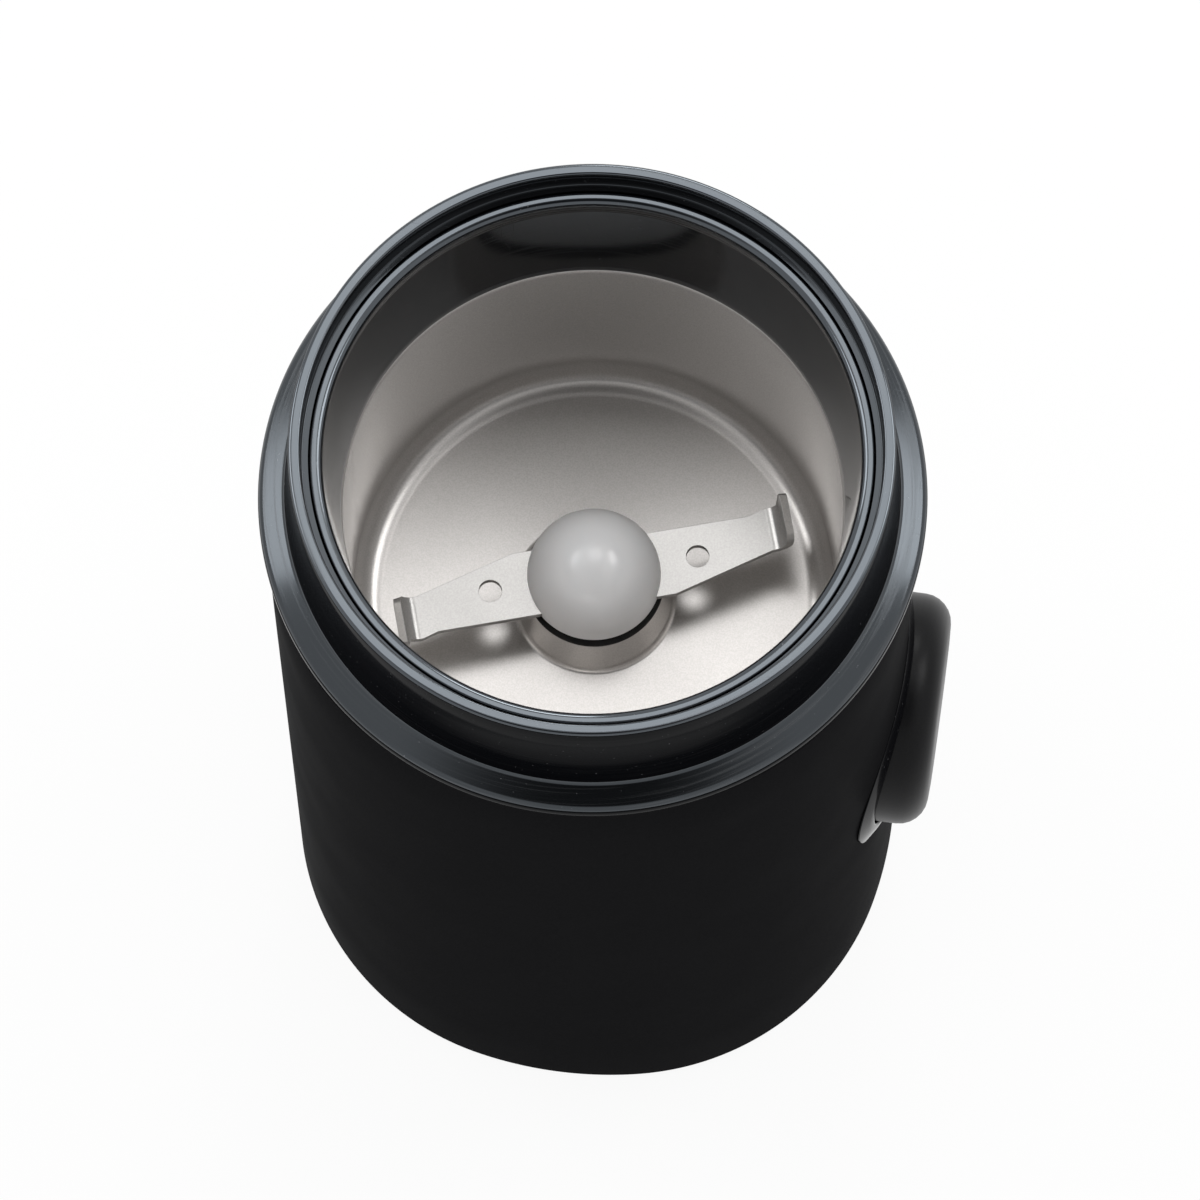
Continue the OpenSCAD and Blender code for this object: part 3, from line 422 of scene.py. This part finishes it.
bowl_steel = satin_steel("bowl_steel", (0.66, 0.636, 0.615), roughness=0.26, speck=0.22, uneven=0.01,
                         depth=0.005, metallic=0.56)
blade_steel = satin_steel("blade_steel", (0.50, 0.49, 0.475), roughness=0.26, speck=0.26, uneven=0.015,
                          depth=0.003, metallic=0.62)
plated_steel = satin_steel("plated_steel", (0.60, 0.60, 0.62), roughness=0.30, speck=0.20, uneven=0.05,
                           depth=0.006)
print("steels:", bowl_steel.name, blade_steel.name, plated_steel.name)

# %% [markdown]
# ## Hub, rubber and what is hidden inside
# The hub is milky nylon. Light goes a millimetre or so into it before it comes back, which the shader calls
# subsurface, and without it the dome would look like chalk. A sheen lifts its sides, where that light leaves at
# a slant. Rubber has the same grain as the housing but almost no gloss. The motor's parts are never seen with
# the housing shut, yet each gets the finish of the real thing, so that the model can be taken apart: stacked
# sheet edges, enamelled wire, sintered bronze and pressed carbon.


# %% Milky hub
def milky(name, colour):
    finish, nodes, links, shader, where = start_finish(name, colour, roughness=0.20, gloss=0.7)
    shader.inputs["Subsurface Weight"].default_value = 0.1
    shader.inputs["Subsurface Radius"].default_value = (1.0, 0.85, 0.8)
    shader.inputs["Subsurface Scale"].default_value = 2 * MM
    shader.inputs["Sheen Weight"].default_value = 0.6
    shader.inputs["Sheen Roughness"].default_value = 0.5
    shader.inputs["Sheen Tint"].default_value = (1, 1, 1, 1)
    clouds = noise(nodes, links, where, size=5, detail=3)
    stained = [colour[0] * 0.985, colour[1] * 0.975, colour[2] * 0.97]
    links.new(blend_colours(nodes, links, spread(nodes, links, clouds, 0, 1), stained, colour),
              shader.inputs["Base Color"])
    links.new(spread(nodes, links, clouds, low=0.17, high=0.22), shader.inputs["Roughness"])
    raise_grain(nodes, links, shader, noise(nodes, links, where, size=0.8, detail=2), depth=0.008)
    return finish


hub_white = milky("hub_white", (0.97, 0.972, 0.98))
print("hub:", hub_white.name)


# %% Plain moulded and rubber finishes
def moulded(name, colour, roughness, grain=0.5, depth=0.01, gloss=0.4, shift=0.12):
    finish, nodes, links, shader, where = start_finish(name, colour, roughness, gloss=gloss)
    fine = noise(nodes, links, where, size=grain, detail=3)
    broad = noise(nodes, links, where, size=8, detail=2)
    light = [c * (1 + shift) + 0.003 for c in colour]
    dark = [c * (1 - shift) for c in colour]
    links.new(blend_colours(nodes, links, spread(nodes, links, broad, 0, 1), dark, light),
              shader.inputs["Base Color"])
    links.new(spread(nodes, links, fine, low=roughness - 0.06, high=roughness + 0.06),
              shader.inputs["Roughness"])
    raise_grain(nodes, links, shader, fine, depth)
    return finish


rubber = moulded("foot_rubber", (0.018, 0.018, 0.018), roughness=0.82, grain=0.6, depth=0.03, gloss=0.25)
base_black = moulded("base_black", (0.016, 0.016, 0.017), roughness=0.55, grain=0.4, depth=0.015, gloss=0.3)
nylon = moulded("deck_nylon", (0.62, 0.60, 0.54), roughness=0.45, grain=0.9)
carbon = moulded("brush_carbon", (0.028, 0.028, 0.030), roughness=0.6, grain=0.15, depth=0.02, gloss=0.5)
film_yellow = moulded("capacitor_yellow", (0.60, 0.40, 0.06), roughness=0.4, grain=1.2)
switch_red = moulded("plunger_red", (0.55, 0.04, 0.03), roughness=0.35, grain=0.8, depth=0.005)
print("moulded finishes: 6")


# %% Metals of the motor
def worked_metal(name, colour, roughness, line_size, stretch, depth):
    finish, nodes, links, shader, where = start_finish(name, colour, roughness, metallic=1.0)
    lines = noise(nodes, links, where, size=line_size, detail=2, stretch=stretch)
    stain = noise(nodes, links, where, size=6, detail=3)
    dark = [c * 0.62 for c in colour]
    links.new(blend_colours(nodes, links, spread(nodes, links, stain, 0, 1, 0.25, 0.6), dark, colour),
              shader.inputs["Base Color"])
    links.new(spread(nodes, links, lines, low=roughness - 0.08, high=roughness + 0.10),
              shader.inputs["Roughness"])
    raise_grain(nodes, links, shader, lines, depth)
    return finish


lamination = worked_metal("stacked_sheets", (0.36, 0.36, 0.38), roughness=0.5, line_size=0.5,
                          stretch=(40, 40, 1), depth=0.08)
copper_wire = worked_metal("enamelled_wire", (0.52, 0.22, 0.09), roughness=0.32, line_size=0.45,
                           stretch=(1, 1, 12), depth=0.12)
bronze = worked_metal("sintered_bronze", (0.52, 0.36, 0.17), roughness=0.55, line_size=0.25,
                      stretch=(1, 1, 1), depth=0.04)
brass = worked_metal("drawn_brass", (0.62, 0.47, 0.20), roughness=0.35, line_size=0.3,
                     stretch=(1, 30, 1), depth=0.01)
print("motor metals: 4")

# %% [markdown]
# ## Building helpers
# Most pieces of a grinder are round about the drive axis, so most are turned, like on a lathe. A section is
# drawn as a flat face in the XZ plane, its corners are rounded with a vertex bevel, and its outline is spun
# once round. Screw modifiers could do the same and stay editable, but a spin in bmesh gives a finished mesh
# whose doubles are merged at once, which shades cleanly and exports as it is.

# %% Turning
TURN_STEPS = 240
MERGE_WITHIN = 0.002 * MM
SHORTEST_EDGE = 0.001 * MM


def tidy(shape):
    """Merges doubles, closes poles and turns every face outwards."""
    bmesh.ops.remove_doubles(shape, verts=shape.verts[:], dist=MERGE_WITHIN)
    bmesh.ops.dissolve_degenerate(shape, dist=SHORTEST_EDGE, edges=shape.edges[:])
    loose = [v for v in shape.verts if not v.link_faces]
    bmesh.ops.delete(shape, geom=loose, context="VERTS")
    bmesh.ops.recalc_face_normals(shape, faces=shape.faces[:])
    return shape


def turn(section, steps=TURN_STEPS, segments=6, closed=True):
    """Spins a section about Z. A point is (radius, height), or (radius, height, rounding of its corner).

    A closed section gives a solid ring. An open one gives a skin without thickness."""
    shape = bmesh.new()
    corners = [shape.verts.new((radius, 0, height)) for radius, height, *_ in section]
    first, last = corners[0], corners[-1]
    shape.faces.new(corners)
    for corner, (_, _, *rounding) in zip(corners, section):
        if rounding:
            bmesh.ops.bevel(shape, geom=[corner], affect="VERTICES", offset=rounding[0], segments=segments,
                            profile=0.5, material=-1)
    bmesh.ops.delete(shape, geom=shape.faces[:], context="FACES_ONLY")
    if not closed:
        shape.edges.remove(shape.edges.get((first, last)))
    bmesh.ops.spin(shape, geom=shape.edges[:] + shape.verts[:], cent=(0, 0, 0), axis=(0, 0, 1),
                   dvec=(0, 0, 0), angle=math.tau, steps=steps, use_merge=True)
    return tidy(shape)


print("rings are turned in", TURN_STEPS, "steps")

# %% Pieces and holes
FACES_UP = 0.5
SHARP_ANGLE = 32
ALONG_X = Matrix.Rotation(math.pi / 2, 3, "Y")


def add_piece(name, shape, body, finish, nodes=(), smooth=SHARP_ANGLE, top_finishes=()):
    """Turns a bmesh into a piece that rides on a CAD body and stands for the CAD nodes named.

    Each of the top_finishes goes on the faces that look up between its two heights."""
    piece = make_object(name, shape)
    mesh = piece.data
    mesh.materials.append(finish)
    for number, (top_finish, lowest, highest) in enumerate(top_finishes, start=1):
        mesh.materials.append(top_finish)
        for face in mesh.polygons:
            if face.normal.z > FACES_UP and lowest < face.center.z < highest:
                face.material_index = number
    mesh.shade_smooth()
    mesh.set_sharp_from_angle(angle=math.radians(smooth))
    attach(piece, body)
    if nodes:
        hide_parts(*nodes)
    print(name, "has", len(mesh.polygons), "faces")
    return piece


def verts_of(result):
    """The vertices among what an operator made."""
    return [g for g in result["geom"] if isinstance(g, bmesh.types.BMVert)]


def cut_round_hole(piece, radius, depth, segments, place, turned=Matrix.Identity(3)):
    """Cuts a hole along Z, unless it is turned. It comes first, so that a bevel on the piece rounds its edge."""
    shape = bmesh.new()
    bmesh.ops.create_cone(shape, cap_ends=True, segments=segments, radius1=radius, radius2=radius, depth=depth)
    bmesh.ops.rotate(shape, verts=shape.verts[:], cent=(0, 0, 0), matrix=turned)
    bmesh.ops.translate(shape, verts=shape.verts[:], vec=place)
    cutter = make_object("hole_cutter", shape)
    hole = piece.modifiers.new("hole", "BOOLEAN")
    hole.operation = "DIFFERENCE"
    hole.object = cutter
    hole.solver = "EXACT"
    piece.modifiers.move(len(piece.modifiers) - 1, 0)
    bpy.context.view_layer.update()
    drilled = bpy.data.meshes.new_from_object(piece.evaluated_get(bpy.context.evaluated_depsgraph_get()))
    piece.modifiers.clear()
    piece.data = drilled
    bpy.data.meshes.remove(cutter.data)


print("piece helpers ready")

# %% [markdown]
# ## Housing
# The housing is one deep moulding, a cup with its mouth down. From above its outline is neither round nor
# square: four gently bowed sides run into four wide corners without an edge. A subdivided cube would come near,
# but its corners never follow true arcs. So a circle is drawn and each of its points is slid out to the
# outline, and the outline is then extruded. The button's hole is a boolean, since a round hole through a bowed
# wall has an edge that no simple extrusion gives.

# %% Outline of the housing
SIDE = 45.3 * MM
CORNER = 46.5 * MM
SIDE_CURVE = 60 * MM
WALL = 2.4 * MM
side_shift = SIDE_CURVE - SIDE
corner_gain = SIDE_CURVE - CORNER
corner_at = (side_shift ** 2 - corner_gain ** 2) / (2 * math.sqrt(2) * corner_gain - 2 * side_shift)
corner_away = corner_at * math.sqrt(2)
corner_curve = CORNER - corner_away
meeting = math.atan2(corner_at, corner_at + side_shift)
side_share = math.atan2(SIDE_CURVE * math.sin(meeting), SIDE_CURVE * math.cos(meeting) - side_shift)


def outline_radius(angle):
    """Distance from the axis to the housing's side in that direction."""
    off_side = (angle + math.pi / 4) % (math.pi / 2) - math.pi / 4
    if abs(off_side) < side_share:
        across = side_shift * math.sin(off_side)
        return math.sqrt(SIDE_CURVE ** 2 - across ** 2) - side_shift * math.cos(off_side)
    off_corner = abs(off_side) - math.pi / 4
    across = corner_away * math.sin(off_corner)
    return math.sqrt(corner_curve ** 2 - across ** 2) + corner_away * math.cos(off_corner)


print("side arcs span", round(math.degrees(2 * side_share), 1), "degrees each")

# %% Housing shell
SHELL_POINTS = 288
SAME_HEIGHT = MM / 100
housing_low, housing_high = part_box("housing")
foot_z, top_z = housing_low.z, housing_high.z

shell = bmesh.new()
ring = bmesh.ops.create_circle(shell, segments=SHELL_POINTS, radius=1)["verts"]
for point in ring:
    angle = math.atan2(point.co.y, point.co.x)
    point.co = Vector((math.cos(angle), math.sin(angle), 0)) * outline_radius(angle)
    point.co.z = foot_z
wall = bmesh.ops.extrude_edge_only(shell, edges=shell.edges[:])
bmesh.ops.translate(shell, verts=verts_of(wall), vec=(0, 0, top_z - foot_z))
bmesh.ops.recalc_face_normals(shell, faces=shell.faces[:])
lower = [e for e in shell.edges if all(abs(v.co.z - foot_z) < SAME_HEIGHT for v in e.verts)]
upper = [e for e in shell.edges if all(abs(v.co.z - top_z) < SAME_HEIGHT for v in e.verts)]
print("open tube:", len(shell.faces), "faces,", len(lower), "lower and", len(upper), "upper edges")

# %% Wall, roundings and levels
INNER = SIDE - WALL
RIM_ROUND = 0.5 * MM
LEVELS = 8
inner_low = verts_of(bmesh.ops.extrude_edge_only(shell, edges=lower))
inner_high = verts_of(bmesh.ops.extrude_edge_only(shell, edges=upper))
for point in inner_low + inner_high:
    point.co.xy = point.co.xy.normalized() * INNER
bmesh.ops.bridge_loops(shell, edges=[e for e in shell.edges if e.is_boundary])
tidy(shell)
outer_rims = [e for e in shell.edges if abs(e.verts[0].co.z - e.verts[1].co.z) < SAME_HEIGHT
              and all(v.co.xy.length > INNER + MM for v in e.verts)]
foot_rim = [e for e in outer_rims if e.verts[0].co.z < foot_z + MM]
top_rim = [e for e in outer_rims if e.verts[0].co.z > top_z - MM]
for rim, segments in ((foot_rim, 5), (top_rim, 4)):
    bmesh.ops.bevel(shell, geom=rim, affect="EDGES", offset=RIM_ROUND, segments=segments, profile=0.5,
                    material=-1)
for level in range(LEVELS):
    height = foot_z + (top_z - foot_z) * (level + 1) / (LEVELS + 1)
    bmesh.ops.bisect_plane(shell, geom=shell.verts[:] + shell.edges[:] + shell.faces[:],
                           plane_co=(0, 0, height), plane_no=(0, 0, 1))
print("shell has", len(shell.faces), "faces before the button's hole")

# %% Hole of the button, and the finished shell
BUTTON_R = 17 * MM
HOLE_R = BUTTON_R + 2.35 * MM
HOLE_DEPTH = 20 * MM
button_low, button_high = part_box("push_button")
button_z = (button_low.z + button_high.z) / 2

housing = add_piece("housing_shell", shell, "grinder_base", housing_black, ["housing"])
cut_round_hole(housing, HOLE_R, HOLE_DEPTH, segments=120, place=(SIDE, 0, button_z), turned=ALONG_X)
housing.data.name = "housing_shell"
print("housing has", len(housing.data.polygons), "faces with the hole, centre at",
      round(button_z / MM, 1), "mm")

# %% [markdown]
# ## Collar
# The collar is a polished ring that plugs into the housing. Seen from above it shows, from the outside in, a
# sloping shoulder, an upright neck that the lid slides over, a narrow flat land, a groove, and the bore that
# holds the sleeve. All of it is one turned section. Its roundings matter more than its sizes: each edge of a
# glossy piece is read by the thin bright line that it mirrors. So the faces that look up, and the groove, have
# finishes of their own, with more gloss than the upright walls.

# %% Collar
collar_low, collar_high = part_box("collar")
rim_z = collar_high.z
skirt_z = collar_low.z
ledge_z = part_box("bowl_gasket")[0].z
NECK_R = 41.7 * MM
NECK_FOOT_R = 42.7 * MM
NECK_STRAIGHT = 8 * MM
LAND_IN_R = 40.0 * MM
BORE_R = 39.0 * MM
FLANGE_R = 46.5 * MM
LEDGE_R = 36.9 * MM
SKIRT_R = INNER - 0.2 * MM
GROOVE_Z = rim_z - 3.7 * MM
NECK_FOOT_Z = rim_z - 17.5 * MM
FLANGE_TOP_Z = NECK_FOOT_Z - 1.3 * MM
FLANGE_LOW_Z = FLANGE_TOP_Z - 2.3 * MM

collar_section = [
    (LAND_IN_R, rim_z, 0.35 * MM), (NECK_R, rim_z, 0.5 * MM), (NECK_R, rim_z - NECK_STRAIGHT, 3 * MM),
    (NECK_FOOT_R, NECK_FOOT_Z, 0.5 * MM), (FLANGE_R, FLANGE_TOP_Z, 0.8 * MM), (FLANGE_R, FLANGE_LOW_Z, 0.5 * MM),
    (SKIRT_R, FLANGE_LOW_Z), (SKIRT_R, skirt_z), (LEDGE_R, skirt_z), (LEDGE_R, ledge_z), (BORE_R, ledge_z),
    (BORE_R, GROOVE_Z), (LAND_IN_R, GROOVE_Z, 0.3 * MM)]
collar = add_piece("collar_ring", turn(collar_section), "grinder_base", collar_black, ["collar"],
                   top_finishes=[(shoulder_black, FLANGE_LOW_Z, NECK_FOOT_Z + MM),
                                 (land_black, rim_z - MM, rim_z + MM)])
groove_finish = len(collar.data.materials)
collar.data.materials.append(sleeve_black)
for face in collar.data.polygons:
    if face.center.xy.length < LAND_IN_R + 0.01 * MM and face.center.z > GROOVE_Z - 0.1 * MM:
        face.material_index = groove_finish

# %% [markdown]
# ## Sleeve
# Inside the neck a thin sleeve stands on the bowl's rim. Its top edge is a small round bead that lies just below
# the collar's land, and its inner wall narrows towards the bowl so that spices slide down. It is a piece of its
# own on the real grinder, which is why a dark line runs round between the two.

# %% Sleeve
SLEEVE_FOOT_R = 35.1 * MM
SLEEVE_FOOT = 1.0 * MM
BEAD_W = 1.8 * MM
BEAD_H = 2.0 * MM
BEAD_NECK = 3.2 * MM
sleeve_low, sleeve_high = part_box("inner_sleeve")
sleeve_r = sleeve_high.x
bead_r = sleeve_r - BEAD_W
sleeve_section = [
    (sleeve_r, sleeve_high.z, 0.3 * MM), (sleeve_r, sleeve_low.z), (SLEEVE_FOOT_R, sleeve_low.z),
    (SLEEVE_FOOT_R, sleeve_low.z + SLEEVE_FOOT, 0.4 * MM),
    (bead_r + 0.35 * MM, sleeve_high.z - BEAD_NECK, 0.5 * MM),
    (bead_r, sleeve_high.z - BEAD_H, 0.4 * MM), (bead_r, sleeve_high.z, 1.0 * MM)]
add_piece("sleeve_ring", turn(sleeve_section), "grinder_base", sleeve_black, ["inner_sleeve"],
          top_finishes=[(land_black, sleeve_high.z - BEAD_H, sleeve_high.z + MM)])

# %% [markdown]
# ## Bowl
# The bowl is pressed and spun from 0.8 mm sheet: a flanged rim, a wall with a trace of draft, a wide corner, a
# flat floor and a raised centre that lifts the shaft's seal out of the spices. Sheet metal has one thickness
# everywhere, so only its inner face is drawn as an open section, spun, and then given a wall with solidify. The
# flat top of the raised centre is painted with the black rubber finish. This is painted shade: the dark crescent
# in the gap under the hub.

# %% Bowl
SHEET = 0.8 * MM
BOWL_R = 34.9 * MM
BOWL_BASE_R = 34.3 * MM
BOWL_CORNER = 4 * MM
BOSS_R = 11.3 * MM
BOSS_TOP_R = BOSS_R - 1.25 * MM
BOSS_H = 7.3 * MM
BOWL_HOLE_R = 7.2 * MM
bowl_low, bowl_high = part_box("bowl")
floor_z = bowl_low.z + SHEET
boss_top_z = floor_z + BOSS_H

bowl_line = [
    (bowl_high.x, bowl_high.z), (BOWL_R, bowl_high.z, 0.6 * MM), (BOWL_BASE_R, floor_z, BOWL_CORNER),
    (BOSS_R, floor_z, 0.7 * MM), (BOSS_TOP_R, boss_top_z, 0.5 * MM), (BOWL_HOLE_R, boss_top_z)]
bowl_skin = turn(bowl_line, segments=8, closed=False)
floor_faces = [face for face in bowl_skin.faces if face.calc_center_median().z < floor_z + MM]
if max(floor_faces, key=lambda face: abs(face.normal.z)).normal.z < 0:
    bmesh.ops.reverse_faces(bowl_skin, faces=bowl_skin.faces[:])
bmesh.ops.solidify(bowl_skin, geom=bowl_skin.faces[:], thickness=SHEET)
# The boss top gets the black rubber finish, which is painted shade for the dark crescent under the hub.
bowl = add_piece("steel_bowl", bowl_skin, "grinder_base", bowl_steel, ["bowl"],
                 top_finishes=[(rubber, boss_top_z - 0.3 * MM, boss_top_z + MM)])
bowl_heights = [v.co.z / MM for v in bowl.data.vertices]
print("bowl reaches from", round(min(bowl_heights), 2), "to", round(max(bowl_heights), 2), "mm")

# %% [markdown]
# ## Hub
# The hub is a domed nylon cap moulded round a brass insert. It grips the blade and screws down on the shaft. Its
# dome is half a circle on a short straight skirt, and its foot has a small chamfer, so that it clears the raised
# centre of the bowl as it spins. A sphere cut in half would need its doubles and its pole mended, while a turned
# section closes by itself.

# %% Hub
HUB_R = 9.6 * MM
HUB_CHAMFER = 0.8 * MM
DOME_POINTS = 18
hub_low, hub_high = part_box("blade_hub")
dome_z = hub_high.z - HUB_R
dome = [(HUB_R * math.cos(t), dome_z + HUB_R * math.sin(t))
        for t in (math.pi / 2 * (1 - k / DOME_POINTS) for k in range(DOME_POINTS + 1))]
hub_section = [(0, hub_low.z), *dome, (HUB_R, hub_low.z + HUB_CHAMFER),
               (HUB_R - HUB_CHAMFER, hub_low.z, 0.3 * MM)]
add_piece("hub_dome", turn(hub_section, steps=128), "rotor", hub_white, ["blade_hub"])

# %% [markdown]
# ## Blade
# The blade is stamped from 1.1 mm steel. Each arm is straight along its back and tapers along its cutting edge,
# has a hole that lets spices drop through, and ends in a tab bent upwards. One arm is drawn flat as a single
# face, cut across into strips where it will bend, given its thickness, and then bent round a roller: every point
# past the bend line is turned about it by a growing angle. The second arm is the first one turned half round.

# %% One flat arm
BLADE_T = 1.1 * MM
BLADE_TURN = math.radians(18)
BLADE_ABOVE_FLOOR = 9.2 * MM
REACH = 25.6 * MM
BACK = 4.7 * MM
FRONT = 5.0 * MM
TAPER_START = 11 * MM
TIP_RISE = 0.7 * MM
TIP_FRONT = -1.0 * MM
TAB = 0.8 * MM
TAB_ANGLE = math.radians(75)
BEND_R = 2.2 * MM
BEND_STRIPS = 14
HORN = 1.2 * MM
HORN_START = 0.62
bend_run = (BEND_R + BLADE_T / 2) * TAB_ANGLE
tab_end = REACH + bend_run + TAB
blade_low, blade_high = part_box("blade")


def flat_arm():
    """One arm as a flat face in the XY plane, cut into strips where it will bend."""
    shape = bmesh.new()
    end_back = BACK + TIP_RISE
    horn_at = REACH + bend_run * HORN_START
    outline = [(0, BACK), (REACH - 2.3 * MM, BACK), (REACH, end_back), (horn_at, end_back),
               (horn_at + HORN, end_back + HORN), (tab_end - 0.4 * MM, end_back + HORN),
               (tab_end, end_back + HORN - 0.4 * MM), (tab_end, TIP_FRONT + 1.4 * MM),
               (tab_end - 0.5 * MM, TIP_FRONT + 0.4 * MM), (tab_end - 1.4 * MM, TIP_FRONT),
               (REACH, TIP_FRONT), (TAPER_START, -FRONT), (0, -FRONT)]
    shape.faces.new([shape.verts.new((x, y, 0)) for x, y in outline])
    for place in [REACH - 0.2 * MM + bend_run * k / BEND_STRIPS for k in range(BEND_STRIPS + 1)]:
        bmesh.ops.bisect_plane(shape, geom=shape.verts[:] + shape.edges[:] + shape.faces[:],
                               plane_co=(place, 0, 0), plane_no=(1, 0, 0))
    return shape


arm = flat_arm()
print("flat arm:", len(arm.faces), "strips,", round(tab_end / MM, 1), "mm long before the bend")
print("the CAD blade is", round((blade_high.z - blade_low.z) / MM, 2), "mm high from its plane to its tips")

# %% Thickness, hole and rounding
ARM_HOLE_R = 1.65 * MM
ARM_HOLE_AT = 15 * MM
ARM_EDGE = 0.18 * MM

bmesh.ops.solidify(arm, geom=arm.faces[:], thickness=BLADE_T)
arm_heights = [v.co.z for v in arm.verts]
bmesh.ops.translate(arm, verts=arm.verts[:], vec=(0, 0, -(max(arm_heights) + min(arm_heights)) / 2))
bmesh.ops.recalc_face_normals(arm, faces=arm.faces[:])
arm_piece = make_object("blade_arm", arm)
round_off = arm_piece.modifiers.new("round_off", "BEVEL")
round_off.width = ARM_EDGE
round_off.segments = 4
round_off.limit_method = "ANGLE"
round_off.angle_limit = math.radians(40)
cut_round_hole(arm_piece, ARM_HOLE_R, depth=6 * MM, segments=64, place=(ARM_HOLE_AT, 0, 0))
print("drilled arm:", len(arm_piece.data.polygons), "faces")

# %% Bend and pair the arms
blade_shape = bmesh.new()
blade_shape.from_mesh(arm_piece.data)
bpy.data.objects.remove(arm_piece)
middle_r = BEND_R + BLADE_T / 2
for point in blade_shape.verts:
    past = point.co.x - REACH
    if past > 0:
        turned = min(past / middle_r, TAB_ANGLE)
        straight = max(past - middle_r * TAB_ANGLE, 0)
        out = middle_r - point.co.z
        x = REACH + out * math.sin(turned) + straight * math.cos(turned)
        z = middle_r - out * math.cos(turned) + straight * math.sin(turned)
        point.co.x, point.co.z = x, z
other_arm = bmesh.ops.duplicate(
    blade_shape, geom=blade_shape.verts[:] + blade_shape.edges[:] + blade_shape.faces[:])
bmesh.ops.rotate(blade_shape, verts=verts_of(other_arm), cent=(0, 0, 0),
                 matrix=Matrix.Rotation(math.pi, 3, "Z"))
bmesh.ops.rotate(blade_shape, verts=blade_shape.verts[:], cent=(0, 0, 0),
                 matrix=Matrix.Rotation(BLADE_TURN, 3, "Z"))
bmesh.ops.translate(blade_shape, verts=blade_shape.verts[:], vec=(0, 0, floor_z + BLADE_ABOVE_FLOOR))
blade = add_piece("steel_blade", blade_shape, "rotor", blade_steel, ["blade"], smooth=40)

evened = blade.modifiers.new("even_shading", "WEIGHTED_NORMAL")
evened.keep_sharp = True
evened.weight = 100
print("the blade's large faces decide its shading, so they look flat up to their rounded edges")

# %% [markdown]
# ## Button and bezel
# The button is a thick moulded cap with a soft shoulder, large enough for a thumb. It slides in a bezel, a low
# glossy collar that hugs the bowed side of the housing. Both are turned first. The bezel's ring is then slid
# along the button's axis, point by point, until it lies on the housing, because a turned ring is flat and the
# wall behind it is not.

# %% Button cap
CAP_DEPTH = 10.8 * MM
CAP_WALL = 2 * MM
CAP_TOP = 2.2 * MM
CAP_ROUND = 4.0 * MM
STEM_R = 3.5 * MM
NOSE_R = 1.5 * MM
NOSE = 0.8 * MM
BUTTON_STEPS = 160
cap_face = button_high.x
cap_back = cap_face - CAP_DEPTH
cap_section = [
    (0, cap_face), (BUTTON_R - 6 * MM, cap_face - 0.05 * MM), (BUTTON_R, cap_face - 0.35 * MM, CAP_ROUND),
    (BUTTON_R, cap_back), (BUTTON_R - CAP_WALL, cap_back), (BUTTON_R - CAP_WALL, cap_face - CAP_TOP),
    (STEM_R, cap_face - CAP_TOP), (STEM_R, button_low.x + NOSE), (NOSE_R, button_low.x + NOSE),
    (NOSE_R, button_low.x), (0, button_low.x)]


def lay_on_button_axis(shape):
    """Lays what was turned about Z along the button's axis."""
    bmesh.ops.rotate(shape, verts=shape.verts[:], cent=(0, 0, 0), matrix=ALONG_X)
    bmesh.ops.translate(shape, verts=shape.verts[:], vec=(0, 0, button_z))
    return shape


add_piece("button_cap", lay_on_button_axis(turn(cap_section, steps=BUTTON_STEPS)), "button", button_black,
          ["push_button"], smooth=40)

# %% Bezel
BEZEL_R = 20.5 * MM
BEZEL_IN = BUTTON_R + 0.35 * MM
BEZEL_HIGH = 0.95 * MM
BEZEL_DEEP = 4.5 * MM
BEZEL_TUBE = 1.8 * MM
bezel_section = [
    (BEZEL_IN, -BEZEL_DEEP), (BEZEL_IN, BEZEL_HIGH, 0.3 * MM), (BEZEL_IN + 0.9 * MM, BEZEL_HIGH, 0.6 * MM),
    (BEZEL_R, 0.12 * MM), (BEZEL_R, -0.05 * MM), (BEZEL_IN + BEZEL_TUBE, -0.05 * MM),
    (BEZEL_IN + BEZEL_TUBE, -BEZEL_DEEP)]
bezel_shape = lay_on_button_axis(turn(bezel_section, steps=BUTTON_STEPS))
for point in bezel_shape.verts:
    point.co.x += math.sqrt(SIDE_CURVE ** 2 - point.co.y ** 2) - side_shift
add_piece("button_bezel_ring", bezel_shape, "grinder_base", bezel_black, ["button_bezel"],
          smooth=40)

# %% [markdown]
# ## The CAD pieces that stay
# Everything else keeps its CAD mesh and only gets its finish. The record already says what each node is made
# of, so one table from material slot to finish dresses them all.

# %% Finishes for the CAD nodes
slot_finish = {
    "matte_black": housing_black, "gloss_black": collar_black, "button_black": button_black,
    "bowl_steel": bowl_steel, "blade_steel": blade_steel, "bright_steel": plated_steel, "hub_white": hub_white,
    "black_rubber": rubber, "inner_nylon": nylon, "inner_black": base_black, "lamination": lamination,
    "copper": copper_wire, "bronze": bronze, "brass": brass, "carbon": carbon, "film_yellow": film_yellow,
    "switch_red": switch_red}
slot_of = {part["node"]: part["material_slot"] for part in frame["record"]["subparts"]}
for name, node in frame["nodes"].items():
    node.data.materials.clear()
    node.data.materials.append(slot_finish[slot_of[name]])
print("dressed", len(slot_of), "CAD nodes")

# %% [markdown]
# ## The spring behind the button
# The button travels 3 mm, and the coil behind it has to get that much shorter. The spring rides with the button.
# Here it only gets a mesh of its own, which nothing in this script squashes.

# %% Spring with a mesh of its own
spring = frame["nodes"]["button_spring"]
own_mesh(spring)

# %% [markdown]
# ## Colours
# The picture's colours are left as the shader gives them.

# %% Colours and the end
bpy.context.scene.view_settings.view_transform = "Standard"
